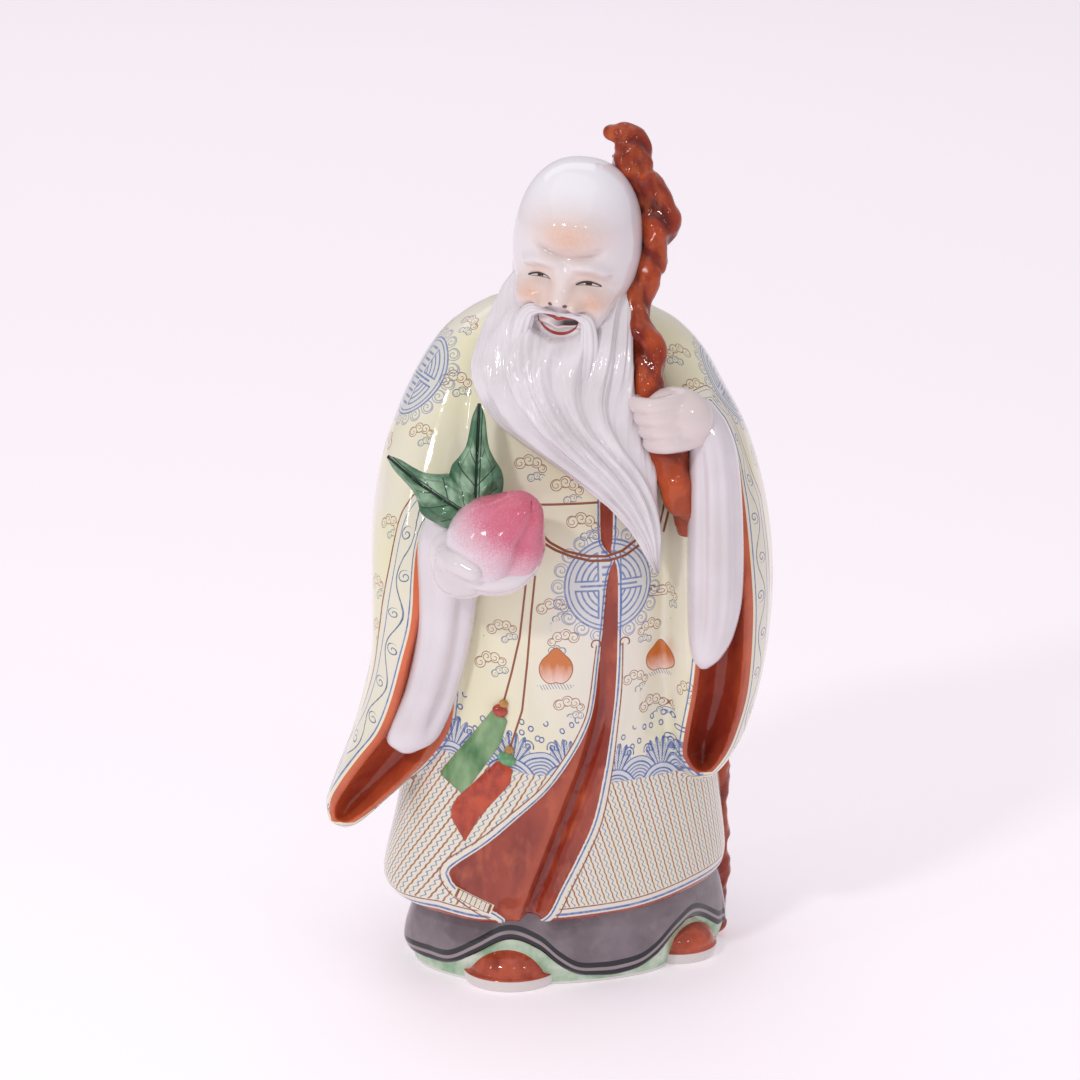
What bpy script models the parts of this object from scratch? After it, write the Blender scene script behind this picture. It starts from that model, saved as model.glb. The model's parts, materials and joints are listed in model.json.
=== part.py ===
"""A glazed porcelain figurine of a bearded elder who holds a peach and a gnarled staff.

The real one is slip-cast and fired as a single piece, so the model is one solid.
Every proportion is drawn on a grid of 322 steps to the figure's height: x runs to the viewer's
right, y away from the viewer, z up, and the origin lies on the flat underside.
"""

import math
from bisect import bisect_right

import bmesh
import bpy
from mathutils import Matrix, Vector

FIGURE_HEIGHT = 0.324
GRID_STEPS = 324.0
UNIT = FIGURE_HEIGHT / GRID_STEPS

FIGURE_NAME = "figurine"
FIGURE_TRIANGLES = 9300
ROBE_VOXEL = 1.5
FIGURE_VOXEL = 1.15

# The figure stands turned a little, so its right-hand side lies further back
BODY_TURN = 0.14
BASE_TURN = 0.14

# Outlines by height: (z, left, right, front, back)
TORSO = [
    (29, -67, 61.5, -53, 47),
    (33, -69.5, 62.5, -55, 47.5),
    (40, -69, 62.5, -54, 47),
    (62, -64.5, 60.5, -53, 46),
    (92, -59, 58, -52, 45),
    (125, -53, 54, -52, 44),
    (165, -51, 52, -52, 43),
    (200, -49, 50, -46, 41),
    (225, -45, 47, -38, 37),
    (241, -36, 41, -30, 32),
    (251, -25, 33, -24, 27),
    (258, -14, 24, -20, 21),
    (263, -6, 15, -14, 14),
]
UNDER_ROBE = [
    (-4, -58, 60, -44, 42),
    (4, -60.5, 62, -47, 44.5),
    (9, -61.5, 62.5, -48, 45),
    (16, -60.5, 62, -48, 45),
    (30, -56, 60, -46, 44),
    (52, -50, 54, -44, 40),
]
LEFT_SLEEVE = [
    (58, -86, -81, -33, -27),
    (61.5, -89.8, -76, -37, -23),
    (68.5, -90.5, -69, -41, -18),
    (79, -87.2, -58, -46, -11),
    (92, -82, -46, -50, -4),
    (105.5, -77.6, -39, -52, 2),
    (124, -73.4, -34, -54, 8),
    (143, -73, -30, -54, 14),
    (173, -72.7, -28, -50, 20),
    (198, -68.7, -26, -41, 24),
    (212.5, -63.9, -24, -35, 25),
    (229, -56.3, -22, -29, 24),
    (243.5, -46.5, -19, -22, 21),
    (251, -37, -16, -17, 17),
    (256, -28, -14, -12, 12),
]
RIGHT_SLEEVE = [
    (78, 49, 54, -35, -28),
    (81, 44.5, 59, -39, -21),
    (88.3, 41, 64.6, -44, -11),
    (99, 39, 70.1, -48, -2),
    (115.6, 38, 74.7, -51, 7),
    (134.7, 37, 77.6, -52, 13),
    (157.7, 36, 78.5, -51, 19),
    (173, 35, 77.2, -48, 22),
    (191.7, 34, 73.3, -43, 25),
    (208.3, 31, 67.6, -37, 27),
    (222.6, 28, 60, -31, 27),
    (236, 24, 52, -25, 25),
    (246, 20, 42.5, -19, 21),
    (252, 17, 32, -14, 16),
    (256, 14, 25, -9, 11),
]

# The hollows of the two sleeve mouths, cut into the sleeves: (z, left, right, front, back)
LEFT_MOUTH = [
    (62, -88, -80, -90, -29),
    (68, -89, -72, -90, -28),
    (79, -84, -60, -90, -32),
    (90, -77, -50, -90, -36),
    (101, -69.5, -43.5, -90, -40),
    (114, -64.5, -41.5, -90, -43),
    (131, -60, -42, -90, -45),
    (143, -57, -42, -90, -47),
    (152, -56, -41, -90, -50),
    (162, -55.6, -40, -90, -51),
    (173, -54.5, -39, -90, -49),
    (182, -51.5, -38.5, -90, -47),
    (187.5, -46, -39, -90, -46),
]
RIGHT_MOUTH = [
    (83, 49, 55, -90, -33),
    (89.5, 44.5, 59.5, -90, -30),
    (99, 44.5, 63.2, -90, -33),
    (117, 47, 67.6, -90, -38),
    (145, 50, 68.9, -90, -41),
    (168, 56, 67.5, -90, -41),
    (191, 61, 65, -90, -41),
    (203, 59.5, 63, -90, -43),
    (214, 55.5, 59, -90, -43),
    (222, 50.5, 53, -90, -43),
]

# The white under-sleeves that hang out of the mouths
LEFT_CUFF = [
    (93.5, -62, -56, -50, -44),
    (97, -66.5, -49, -53, -38),
    (104, -65.5, -44.5, -55, -35),
    (119.5, -59.5, -39, -58, -33),
    (139, -55.5, -34.5, -60, -32),
    (155, -54.8, -32, -61, -31),
    (175, -54.3, -30, -63, -30),
    (187, -50, -30, -63, -34),
]
RIGHT_CUFF = [
    (127.5, 49, 53, -54, -48),
    (131, 46.5, 57.5, -57, -41),
    (138.5, 45, 62.2, -58, -34),
    (154, 44.5, 65.3, -59, -32),
    (184, 44.5, 65, -58, -30),
    (207, 44.5, 62.6, -56, -28),
    (218, 44, 58.5, -53, -28),
    (226, 43, 52, -49, -34),
]

BEARD = [
    (164.5, 33.0, 34.0, -55, -53),
    (171.5, 28.8, 34.5, -59, -49),
    (178, 25, 35, -61, -46),
    (188, 17, 34, -62.5, -42),
    (197, 6, 32.5, -62.5, -38),
    (204, -4, 30.5, -62, -34),
    (211, -15, 28, -61, -31),
    (219, -25.5, 26, -59.5, -28),
    (229, -32, 24.5, -58, -24),
    (239, -34.5, 24.5, -55.5, -20),
    (246, -33, 25, -53, -17),
    (252, -30.5, 25.5, -50, -14),
    (259, -26, 26, -45, -12),
    (266, -21.5, 26.5, -37, -10),
    (272, -17.5, 26, -28, -10),
]

HEAD_CENTRE = (4.3, -22.0, 277.5)
HEAD_RADII = (23.6, 26.5, 34.8)
HEAD_ROLL = 3.0
HEAD_YAW = -11.0
HEAD_NOD = 4.0
SKULL_SQUARENESS = 2.35
FACE_TILT = math.radians(5.5)

# The open mouth: its height, half width and half height, from the head's centre
MOUTH_HEIGHT = -21.0
MOUTH_REACH = (8.4, 5.6)
MOUTH_DEPTH = 1.7
SMILE_CURVE = 0.045
CHIN_TOP = -22.0

STAFF = [
    (16.6, -12, 320.0, 3.2),
    (20.4, -12.5, 319.0, 5.0),
    (24.3, -13, 314.5, 7.1),
    (24.9, -14, 308.5, 7.6),
    (25.8, -15, 303.5, 7.0),
    (29.0, -16, 299.0, 6.8),
    (33.0, -18, 294.0, 6.6),
    (34.4, -20, 287.0, 7.4),
    (32.6, -22, 280.6, 5.8),
    (31.3, -24, 274.4, 5.8),
    (28.9, -27, 268.2, 5.6),
    (26.2, -30, 262.4, 5.1),
    (25.6, -33, 255.7, 5.5),
    (27.4, -36, 250.0, 5.7),
    (30.0, -39, 244.0, 5.7),
    (30.9, -42, 236.0, 5.8),
    (31.2, -44, 229.0, 5.6),
    (34.0, -46, 216.0, 6.2),
    (36.8, -47, 208.0, 7.2),
    (39.6, -47, 200.0, 7.0),
    (41.4, -46, 190.0, 6.6),
    (47.0, -42, 179.3, 6.0),
    (52.0, -30, 150.0, 5.4),
    (56.5, -10, 110.0, 5.2),
    (58.6, 6, 80.0, 5.0),
    (58.9, 9, 66.0, 5.4),
    (59.5, 10, 52.0, 4.8),
    (58.8, 10, 38.0, 5.5),
    (59.4, 10, 26.0, 5.1),
    (58.7, 9, 12.0, 5.5),
    (58.4, 8, 5.2, 5.0),
]

PEACH_CENTRE = (-25.5, -69.0, 179.5)
PEACH_RADIUS = 18.0
PEACH_TIP = (0.55, -0.30, 0.78)

SHOES = [
    {"centre": (-20.5, -37.5, 4.0), "radii": (16.4, 15.5, 12.0), "turn": 8.0},
    {"centre": (44.0, -12.0, 4.5), "radii": (14.2, 13.5, 10.8), "turn": 22.0},
]


def through(keys, t):
    """The values at t on the smooth line through keys, rows of (t, value, value, ...)."""
    places = [row[0] for row in keys]
    t = min(max(t, places[0]), places[-1])
    i = min(max(bisect_right(places, t) - 1, 0), len(keys) - 2)
    span = places[i + 1] - places[i]
    s = (t - places[i]) / span
    found = []
    for k in range(1, len(keys[0])):

        def slope(j):
            low, high = max(j - 1, 0), min(j + 1, len(keys) - 1)
            return (keys[high][k] - keys[low][k]) / (places[high] - places[low])

        a, b = keys[i][k], keys[i + 1][k]
        bend = (2 * s**3 - 3 * s**2 + 1) * a + (3 * s**2 - 2 * s**3) * b
        bend += span * ((s**3 - 2 * s**2 + s) * slope(i) + (s**3 - s**2) * slope(i + 1))
        found.append(bend)
    return found


def fade(value, low, high):
    """0 below low, 1 above high, and a smooth rise between them."""
    s = min(max((value - low) / (high - low), 0.0), 1.0)
    return s * s * (3 - 2 * s)


def bump(value, middle, width):
    """A rounded bump of height 1 at middle, which dies out at about twice width."""
    return math.exp(-(((value - middle) / width) ** 2))


def signed_power(value, power):
    return math.copysign(abs(value) ** power, value)


def new_mesh_object(name, bm):
    mesh = bpy.data.meshes.new(name)
    bmesh.ops.recalc_face_normals(bm, faces=bm.faces)
    bm.to_mesh(mesh)
    bm.free()
    piece = bpy.data.objects.new(name, mesh)
    bpy.context.scene.collection.objects.link(piece)
    return piece


def loft(name, rings):
    """A closed skin over rings of equal count, with flat ends."""
    bm = bmesh.new()
    rows = [[bm.verts.new(point) for point in ring] for ring in rings]
    count = len(rings[0])
    for low, high in zip(rows, rows[1:]):
        for i in range(count):
            j = (i + 1) % count
            bm.faces.new((low[i], low[j], high[j], high[i]))
    bm.faces.new(rows[0][::-1])
    bm.faces.new(rows[-1])
    return new_mesh_object(name, bm)


def draped(name, outline, turn=0.0, around=96, step=1.6, square=2.2, carve=None):
    """A form drawn by its outlines by height; carve moves each point of the skin."""
    bottom, top = outline[0][0], outline[-1][0]
    rows = max(8, round((top - bottom) / step))
    rings = []
    for row in range(rows + 1):
        z = bottom + (top - bottom) * row / rows
        left, right, front, back = through(outline, z)
        middle = Vector(((left + right) / 2, (front + back) / 2, z))
        ring = []
        for i in range(around):
            angle = 2 * math.pi * i / around
            across = (right - left) / 2 * signed_power(math.cos(angle), 2 / square)
            along = (back - front) / 2 * signed_power(math.sin(angle), 2 / square)
            point = middle + Vector((across, along + turn * across, 0))
            if carve:
                point = carve(point, middle, angle)
            ring.append(point)
        rings.append(ring)
    return loft(name, rings)


def outward(point, middle):
    way = Vector((point.x - middle.x, point.y - middle.y, 0))
    return way.normalized() if way.length > 1e-6 else Vector((0, -1, 0))


# The robe's front opening, as x by height on the front face
LEFT_FLAP = [
    (30.5, -22.6),
    (36.1, -32.6),
    (41.6, -41.1),
    (46.3, -44.0),
    (49.9, -41.1),
    (58.9, -29.3),
    (68.5, -18.6),
    (79.0, -7.0),
    (89.2, 0.7),
    (99.3, 6.5),
    (109.4, 10.3),
    (129.5, 12.6),
    (144.5, 14.0),
    (158, 15.2),
    (190, 12.7),
]
RIGHT_FLAP = [
    (28.6, -10.8),
    (31.2, -6.9),
    (42.1, -1.1),
    (53.4, 4.7),
    (66.4, 10.5),
    (83.8, 14.3),
    (104.1, 17.1),
    (119.2, 18.7),
    (139.2, 19.3),
    (158, 19.4),
    (190, 17.6),
]
FLAP_CREASE = [
    (31.2, -13.8),
    (49.2, -7.0),
    (72.2, 1.8),
    (92.9, 9.4),
    (109.1, 13.2),
    (129.2, 14.6),
    (150, 15.4),
    (190, 14.6),
]

# The tablet and the tassel that hang at the waist, in low relief on the robe's face:
# (top, bottom, half width at the top, half width at the bottom), each end as (x, z)
PENDANTS = [
    ((-23.8, 109.0), (-42.0, 80.5), 3.0, 6.5),
    ((-22.8, 88.5), (-40.0, 60.5), 4.0, 6.5),
]
PENDANT_RISE = 1.3


def pendant_rise(x, z):
    """How far the hanging tablet and tassel stand out of the robe at x, z."""
    rise = 0.0
    for (x0, z0), (x1, z1), half_top, half_bottom in PENDANTS:
        length = math.hypot(x1 - x0, z1 - z0)
        along = ((x - x0) * (x1 - x0) + (z - z0) * (z1 - z0)) / length
        across = ((x - x0) * (z1 - z0) - (z - z0) * (x1 - x0)) / length
        half = half_top + (half_bottom - half_top) * along / length
        inside = fade(along, -0.6, 0.6) * (1 - fade(along, length - 0.6, length + 0.6))
        inside *= 1 - fade(abs(across), half - 0.6, half + 0.6)
        rise = max(rise, inside * PENDANT_RISE)
    return rise


def torso_carve(point, middle, angle):
    """Folds of the robe: the parted front, the spreading hem and the creases of the back."""
    way = outward(point, middle)
    depth = 0.0
    if point.y < middle.y:
        crease = through(FLAP_CREASE, point.z)[0]
        left = through(LEFT_FLAP, point.z)[0]
        right = through(RIGHT_FLAP, point.z)[0]
        low = 1 - fade(point.z, 95, 135)
        inside = fade(point.x, left - 1, left + 1) * (1 - fade(point.x, right - 1, right + 1))
        depth += inside * (0.6 + 0.8 * low)
        depth += low * 3.4 * bump(point.x, crease, 3.5)
        depth -= low * 1.2 * bump(point.x, crease + 6, 3.0)
        depth += 1.3 * bump(point.z, 187, 4.0) * (1 - fade(abs(point.x), 20, 34))
        depth -= pendant_rise(point.x, point.z)
    else:
        low = 1 - fade(point.z, 60, 190)
        depth += 2.2 * low * math.sin(7 * angle + 0.012 * point.z) * fade(point.y, 0, 18)
    moved = point - way * depth
    hem = 1 - fade(point.z, 34, 60)
    moved.z += hem * (2.6 * abs(point.x) / 60 - 2.0 * bump(point.x, -30, 16) - 1.2)
    moved.z += hem * 1.6 * bump(point.x, -13, 2.0) * (point.y < 0)
    return moved


def under_robe_carve(point, middle, angle):
    """The grey under-robe's hem rises over each shoe and dips between them."""
    rise = 14.0 * bump(point.x, -20, 15) + 15.0 * bump(point.x, 49, 13)
    rise = rise if point.y < middle.y + 6 else 1.5 + 2.0 * math.sin(5 * angle)
    hem = fade(point.z, 1, 9) * (1 - fade(point.z, 9, 40))
    moved = point.copy()
    moved.z += hem * rise
    hollow = 5.0 * bump(point.x, 49, 9) * (1 - fade(point.z, 8, 22)) * (point.y < middle.y)
    return moved - outward(point, middle) * (1.2 * math.sin(9 * angle) * hem + hollow)


def left_sleeve_carve(point, middle, angle):
    """Long hanging folds on the outer face of the sleeve."""
    low = 1 - fade(point.z, 120, 215)
    fold = 1.6 * bump(angle, 2.6, 0.22) + 1.4 * bump(angle, 1.9, 0.2)
    return point - outward(point, middle) * low * fold


def right_sleeve_carve(point, middle, angle):
    low = 1 - fade(point.z, 130, 220)
    fold = 1.6 * bump(angle, 0.5, 0.22) + 1.4 * bump(angle, 1.2, 0.2)
    return point - outward(point, middle) * low * fold


def left_cuff_carve(point, middle, angle):
    """The under-sleeve is a flattened tube, hollowed along its inner side."""
    low = 1 - fade(point.z, 150, 176)
    return point - outward(point, middle) * low * 3.0 * bump(angle, 5.25, 0.35)


def right_cuff_carve(point, middle, angle):
    low = 1 - fade(point.z, 195, 226)
    fold = 1.5 * bump(angle, 4.25, 0.2) + 1.1 * bump(angle, 5.5, 0.25)
    return point - outward(point, middle) * low * fold


def head_pose():
    pose = Matrix.Translation(HEAD_CENTRE) @ Matrix.Rotation(math.radians(HEAD_YAW), 4, "Z")
    pose @= Matrix.Rotation(math.radians(HEAD_ROLL), 4, "Y")
    return pose @ Matrix.Rotation(math.radians(HEAD_NOD), 4, "X")


def face_place(point):
    """A point of the head in the axes of the face, which leans a little more than the skull."""
    cos, sin = math.cos(FACE_TILT), math.sin(FACE_TILT)
    return Vector((point.x * cos - point.z * sin, point.y, point.x * sin + point.z * cos))


def from_face(x, y, z):
    """A place in the axes of the face, as a place on the figure."""
    cos, sin = math.cos(FACE_TILT), math.sin(FACE_TILT)
    return head_pose() @ Vector((x * cos + z * sin, y, z * cos - x * sin))


def beard_carve(point, middle, angle):
    """Locks that part at the chin and sweep down to the tip, and stand back from the mouth."""
    left, right, _, _ = through(BEARD, point.z)
    across = (point.x - left) / max(right - left, 1.0)
    sway = 0.35 * math.sin(0.06 * point.z)
    front = 1 - fade(point.y, middle.y - 2, middle.y + 4)
    lock = 1.1 * math.cos(2 * math.pi * (6.0 * across + sway)) * min((right - left) / 30, 1.0)
    moved = point + outward(point, middle) * lock * front
    place = face_place(head_pose().inverted() @ moved)
    gap = math.hypot(place.x / MOUTH_REACH[0], (place.z - MOUTH_HEIGHT) / MOUTH_REACH[1])
    if place.y < -6:
        moved.y += 9.0 * (1 - fade(gap, 0.96, 1.22)) * front
    return moved


def ellipsoid(name, centre, radii, turn=0.0, shape=None, segments=40, rings=24):
    """A ball of three radii; shape moves each point of it before it is turned and placed."""
    bm = bmesh.new()
    bmesh.ops.create_uvsphere(bm, u_segments=segments, v_segments=rings, radius=1.0)
    for vert in bm.verts:
        vert.co = Vector(a * b for a, b in zip(vert.co, radii))
        if shape:
            vert.co = shape(vert.co)
    bm.transform(Matrix.Translation(centre) @ Matrix.Rotation(math.radians(turn), 4, "Z"))
    return new_mesh_object(name, bm)


# The face's relief: (x, z, half width, half height, how far it stands out), from the head's centre
FACE = [
    (0.0, 13.4, 12.0, 8.0, 6.2),
    (-8.5, 0.8, 6.0, 2.0, 3.6),
    (8.5, 0.8, 6.0, 2.0, 3.6),
    (-9.0, -4.8, 4.8, 2.6, -2.6),
    (9.0, -4.8, 4.8, 2.6, -2.6),
    (-10.8, -10.6, 5.2, 3.8, 4.4),
    (10.8, -10.6, 5.2, 3.8, 4.4),
    (0.0, -5.0, 3.4, 4.8, 3.4),
    (0.0, -10.4, 4.4, 2.8, 6.2),
    (-5.2, -11.6, 2.3, 1.9, 4.0),
    (5.2, -11.6, 2.3, 1.9, 4.0),
    (0.0, -20.0, 11.5, 7.0, 4.8),
    (0.0, -28.0, 10.0, 5.0, 8.0),
    (-11.0, -22.5, 5.0, 5.5, 4.0),
    (11.0, -22.5, 5.0, 5.5, 4.0),
]


# The locks that part under the nose, as (x, y, z, radius) in the axes of the face
LOCKS = {
    "left_moustache": [
        (-0.8, -27.0, -15.2, 0.8),
        (-4.6, -27.2, -15.2, 1.1),
        (-8.6, -26.8, -15.6, 1.6),
        (-11.6, -26.4, -17.4, 2.3),
        (-13.2, -26.8, -22.5, 3.0),
        (-13.4, -28.4, -30.0, 3.2),
        (-12.4, -31.4, -40.0, 2.8),
        (-10.4, -34.6, -49.0, 2.0),
        (-8.4, -37.0, -58.0, 1.0),
    ],
    "right_moustache": [
        (0.8, -27.0, -15.2, 0.8),
        (4.6, -27.2, -15.2, 1.1),
        (8.6, -26.8, -15.6, 1.6),
        (11.6, -26.2, -17.4, 2.3),
        (13.2, -26.6, -22.5, 3.0),
        (13.8, -28.2, -30.0, 3.2),
        (13.8, -31.2, -40.0, 2.8),
        (14.0, -34.0, -49.0, 2.0),
        (14.6, -36.4, -58.0, 1.0),
    ],
}


def head_shape(point):
    """A high domed skull over a narrower jaw, with the face in relief on its front."""
    point = point.copy()
    full = sum(abs(a / b) ** SKULL_SQUARENESS for a, b in zip(point, HEAD_RADII)) ** (-1 / SKULL_SQUARENESS)
    point *= 1 + (full - 1) * fade(point.z, -6.0, 8.0)
    jaw = 1 - fade(point.z, -34.0, 3.0)
    point.x *= 1 - 0.12 * jaw
    point.y *= 1 - 0.08 * jaw
    x, _, z = face_place(point)
    front = fade(-point.y, 4.0, 14.0)
    smile = SMILE_CURVE * x**2
    out = 0.0
    for place, height, half_width, half_height, rise in FACE:
        lift = smile if height < CHIN_TOP else 0.0
        out += rise * bump(x, place, half_width) * bump(z - lift, height, half_height)
    opening = math.hypot(x / 7.0, (z - smile - MOUTH_HEIGHT - 1.0) / 3.0)
    out -= MOUTH_DEPTH * (1 - fade(opening, 0.7, 1.2))
    return point + point.normalized() * out * front


def head():
    """The head, turned and bowed a little, with its two long ears."""
    parts = [ellipsoid("head", (0, 0, 0), HEAD_RADII, shape=head_shape, segments=80, rings=72)]
    for side in (-1, 1):
        ear = ellipsoid(f"ear{side}", (side * 21.5, 2.0, -9.0), (3.0, 5.0, 10.0), turn=-18 * side)
        parts.append(ear)
    for piece in parts:
        piece.data.transform(head_pose())
    return parts


def moustache():
    """The two locks that part under the nose and fall into the beard."""
    return [rod(name, [(*from_face(*knot[:3]), knot[3]) for knot in path]) for name, path in LOCKS.items()]


def peach_shape(ball):
    """A round fruit drawn out to a tip at +z, with a seam down one side."""
    point = ball.copy()
    high = ball.z / PEACH_RADIUS
    tip = fade(high, 0.62, 1.0)
    point.z += 0.30 * PEACH_RADIUS * tip * tip
    seam = bump(math.atan2(ball.y, ball.x), -1.40, 0.2) * fade(high, -0.5, 0.3)
    return point * (1 - 0.09 * seam * (1 - 0.7 * tip))


def aim_at(piece, centre, way):
    """Turns a piece about centre so that its z axis points along way."""
    turn = Vector((0, 0, 1)).rotation_difference(Vector(way).normalized()).to_matrix().to_4x4()
    piece.data.transform(Matrix.Translation(centre) @ turn)
    return piece


def rod(name, points, sides=3):
    """A closed round rod along the smooth line through points, rows of (x, y, z, radius)."""
    curve = bpy.data.curves.new(name, "CURVE")
    curve.dimensions = "3D"
    curve.bevel_depth = 1.0
    curve.bevel_resolution = sides
    curve.use_fill_caps = True
    curve.resolution_u = 5
    spline = curve.splines.new("BEZIER")
    spline.bezier_points.add(len(points) - 1)
    for place, (x, y, z, radius) in zip(spline.bezier_points, points):
        place.co = (x, y, z)
        place.radius = radius
        place.handle_left_type = "AUTO"
        place.handle_right_type = "AUTO"
    piece = bpy.data.objects.new(name, curve)
    bpy.context.scene.collection.objects.link(piece)
    return as_mesh(piece)


def as_mesh(piece):
    """The piece with its modifiers applied, as a plain mesh of the same name."""
    graph = bpy.context.evaluated_depsgraph_get()
    mesh = bpy.data.meshes.new_from_object(piece.evaluated_get(graph))
    bm = bmesh.new()
    bm.from_mesh(mesh)
    bmesh.ops.remove_doubles(bm, verts=bm.verts, dist=1e-4)
    bmesh.ops.recalc_face_normals(bm, faces=bm.faces)
    bm.to_mesh(mesh)
    bm.free()
    name = piece.name
    bpy.data.objects.remove(piece)
    plain = bpy.data.objects.new(name, mesh)
    bpy.context.scene.collection.objects.link(plain)
    return plain


def staff_rod():
    """A gnarled branch, thick and thin by turns, that runs from over the head to the ground."""
    return rod("staff", STAFF, sides=6)


# A leaf's half width by the share of its length from the stalk, as a share of its widest
LEAF_OUTLINE = [
    (0.0, 0.45),
    (0.1, 0.86),
    (0.24, 1.0),
    (0.38, 0.9),
    (0.48, 0.62),
    (0.58, 0.42),
    (0.7, 0.33),
    (0.86, 0.24),
    (1.0, 0.05),
]


def leaf(name, base, tip, width, curl):
    """A pointed leaf, thick enough to be cast, arched along its rib."""
    base, tip = Vector(base), Vector(tip)
    along = tip - base
    side = along.cross(Vector((0, -1, 0))).normalized()
    lift = side.cross(along).normalized()
    rings = []
    for row in range(25):
        t = row / 24
        half = width * through(LEAF_OUTLINE, t)[0]
        thick = 1.3 + 1.6 * (1 - t)
        rib = base + along * t + lift * curl * math.sin(math.pi * t)
        ring = []
        for i in range(20):
            angle = 2 * math.pi * i / 20
            across = half * math.cos(angle)
            wave = 1.3 * math.sin(9 * t + 1.5 * math.copysign(1, across)) * abs(across) / width
            up = thick * math.sin(angle) - 1.2 * (across / width) ** 2 + wave
            ring.append(rib + side * across + lift * up)
        rings.append(ring)
    return loft(name, rings)


def staff_hand():
    """The fist that grips the staff: the back of the hand and four stacked fingers."""
    parts = [ellipsoid("palm", (39.5, -49.0, 220.6), (14.0, 10.2, 12.2), turn=-10)]
    for i in range(4):
        z = 227.6 - 4.8 * i
        x = 24.0 + 1.7 * i
        finger = [
            (x + 19, -50, z + 1.0, 3.6),
            (x + 13, -55.0, z + 0.6, 3.7),
            (x + 7, -57.0, z, 3.6),
            (x + 2.0, -53.5, z - 0.4, 3.4),
            (x + 1.5, -47, z - 0.6, 2.8),
        ]
        parts.append(rod(f"finger{i}", finger))
    return parts


# The fingers under the peach: how far below level each one runs round it, and its
# (turn round the peach, radius) from palm to tip
FINGER_LEVELS = (42, 63, 84, 106)
FINGER_PATH = ((-82, 3.9), (-50, 4.0), (-15, 3.9), (22, 3.6), (56, 2.7))
FINGER_REACH = 15.9


def peach_hand():
    """The hand that carries the peach: a heel, a thumb in front and fingers that cup it below."""
    parts = [ellipsoid("heel", (-42.0, -58.5, 172.0), (7.0, 9.0, 11.5), turn=20)]
    thumb = [
        (-44, -64, 176.5, 4.6),
        (-41.5, -77, 174.0, 5.2),
        (-35, -83.5, 170.5, 4.8),
        (-28, -85.8, 168, 3.4),
    ]
    parts.append(rod("thumb", thumb))
    for i, level in enumerate(FINGER_LEVELS):
        under = Vector((0, -math.cos(math.radians(level)), -math.sin(math.radians(level))))
        finger = []
        for turn, radius in FINGER_PATH:
            t = math.radians(turn)
            spot = Vector(PEACH_CENTRE) + FINGER_REACH * (Vector((math.sin(t), 0, 0)) + math.cos(t) * under)
            finger.append((*spot, radius))
        parts.append(rod(f"under_finger{i}", finger))
    return parts


def joined(name, pieces):
    """One mesh that holds every piece, which are then removed."""
    bm = bmesh.new()
    for piece in pieces:
        bm.from_mesh(piece.data)
        bpy.data.objects.remove(piece)
    return new_mesh_object(name, bm)


def fused(piece, voxel, rounds):
    """Overlapping closed forms made one skin, with the grain of the voxels smoothed away."""
    remesh = piece.modifiers.new("one_skin", "REMESH")
    remesh.mode = "VOXEL"
    remesh.voxel_size = voxel
    soften = piece.modifiers.new("soften", "SMOOTH")
    soften.factor = 0.5
    soften.iterations = rounds
    return piece


def cut_away(piece, cutter, collection):
    """A Boolean difference whose cutter stays in the cutters' collection, out of the render."""
    cut = piece.modifiers.new(cutter.name, "BOOLEAN")
    cut.operation = "DIFFERENCE"
    cut.object = cutter
    for home in list(cutter.users_collection):
        home.objects.unlink(cutter)
    collection.objects.link(cutter)
    cutter.hide_render = True
    cutter.display_type = "WIRE"


def robe_solid(cutters):
    """The torso and both sleeves as one skin, with the two sleeve mouths hollowed out."""
    robe = joined(
        "robe",
        [
            draped("torso", TORSO, BODY_TURN, around=144, carve=torso_carve),
            draped("left_sleeve", LEFT_SLEEVE, 0.0, carve=left_sleeve_carve),
            draped("right_sleeve", RIGHT_SLEEVE, 0.25, carve=right_sleeve_carve),
        ],
    )
    fused(robe, ROBE_VOXEL, 6)
    cut_away(robe, draped("left_mouth", LEFT_MOUTH, around=32, step=3, square=2.0), cutters)
    cut_away(robe, draped("right_mouth", RIGHT_MOUTH, around=32, step=3, square=2.0), cutters)
    return as_mesh(robe)


def porcelain():
    """White glaze with a little warmth, as the undecorated parts show."""
    material = bpy.data.materials.new("porcelain_glaze")
    material.use_nodes = True
    shader = material.node_tree.nodes["Principled BSDF"]
    shader.inputs["Base Color"].default_value = (0.86, 0.84, 0.78, 1)
    shader.inputs["Roughness"].default_value = 0.12
    shader.inputs["Metallic"].default_value = 0.0
    return material


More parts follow.
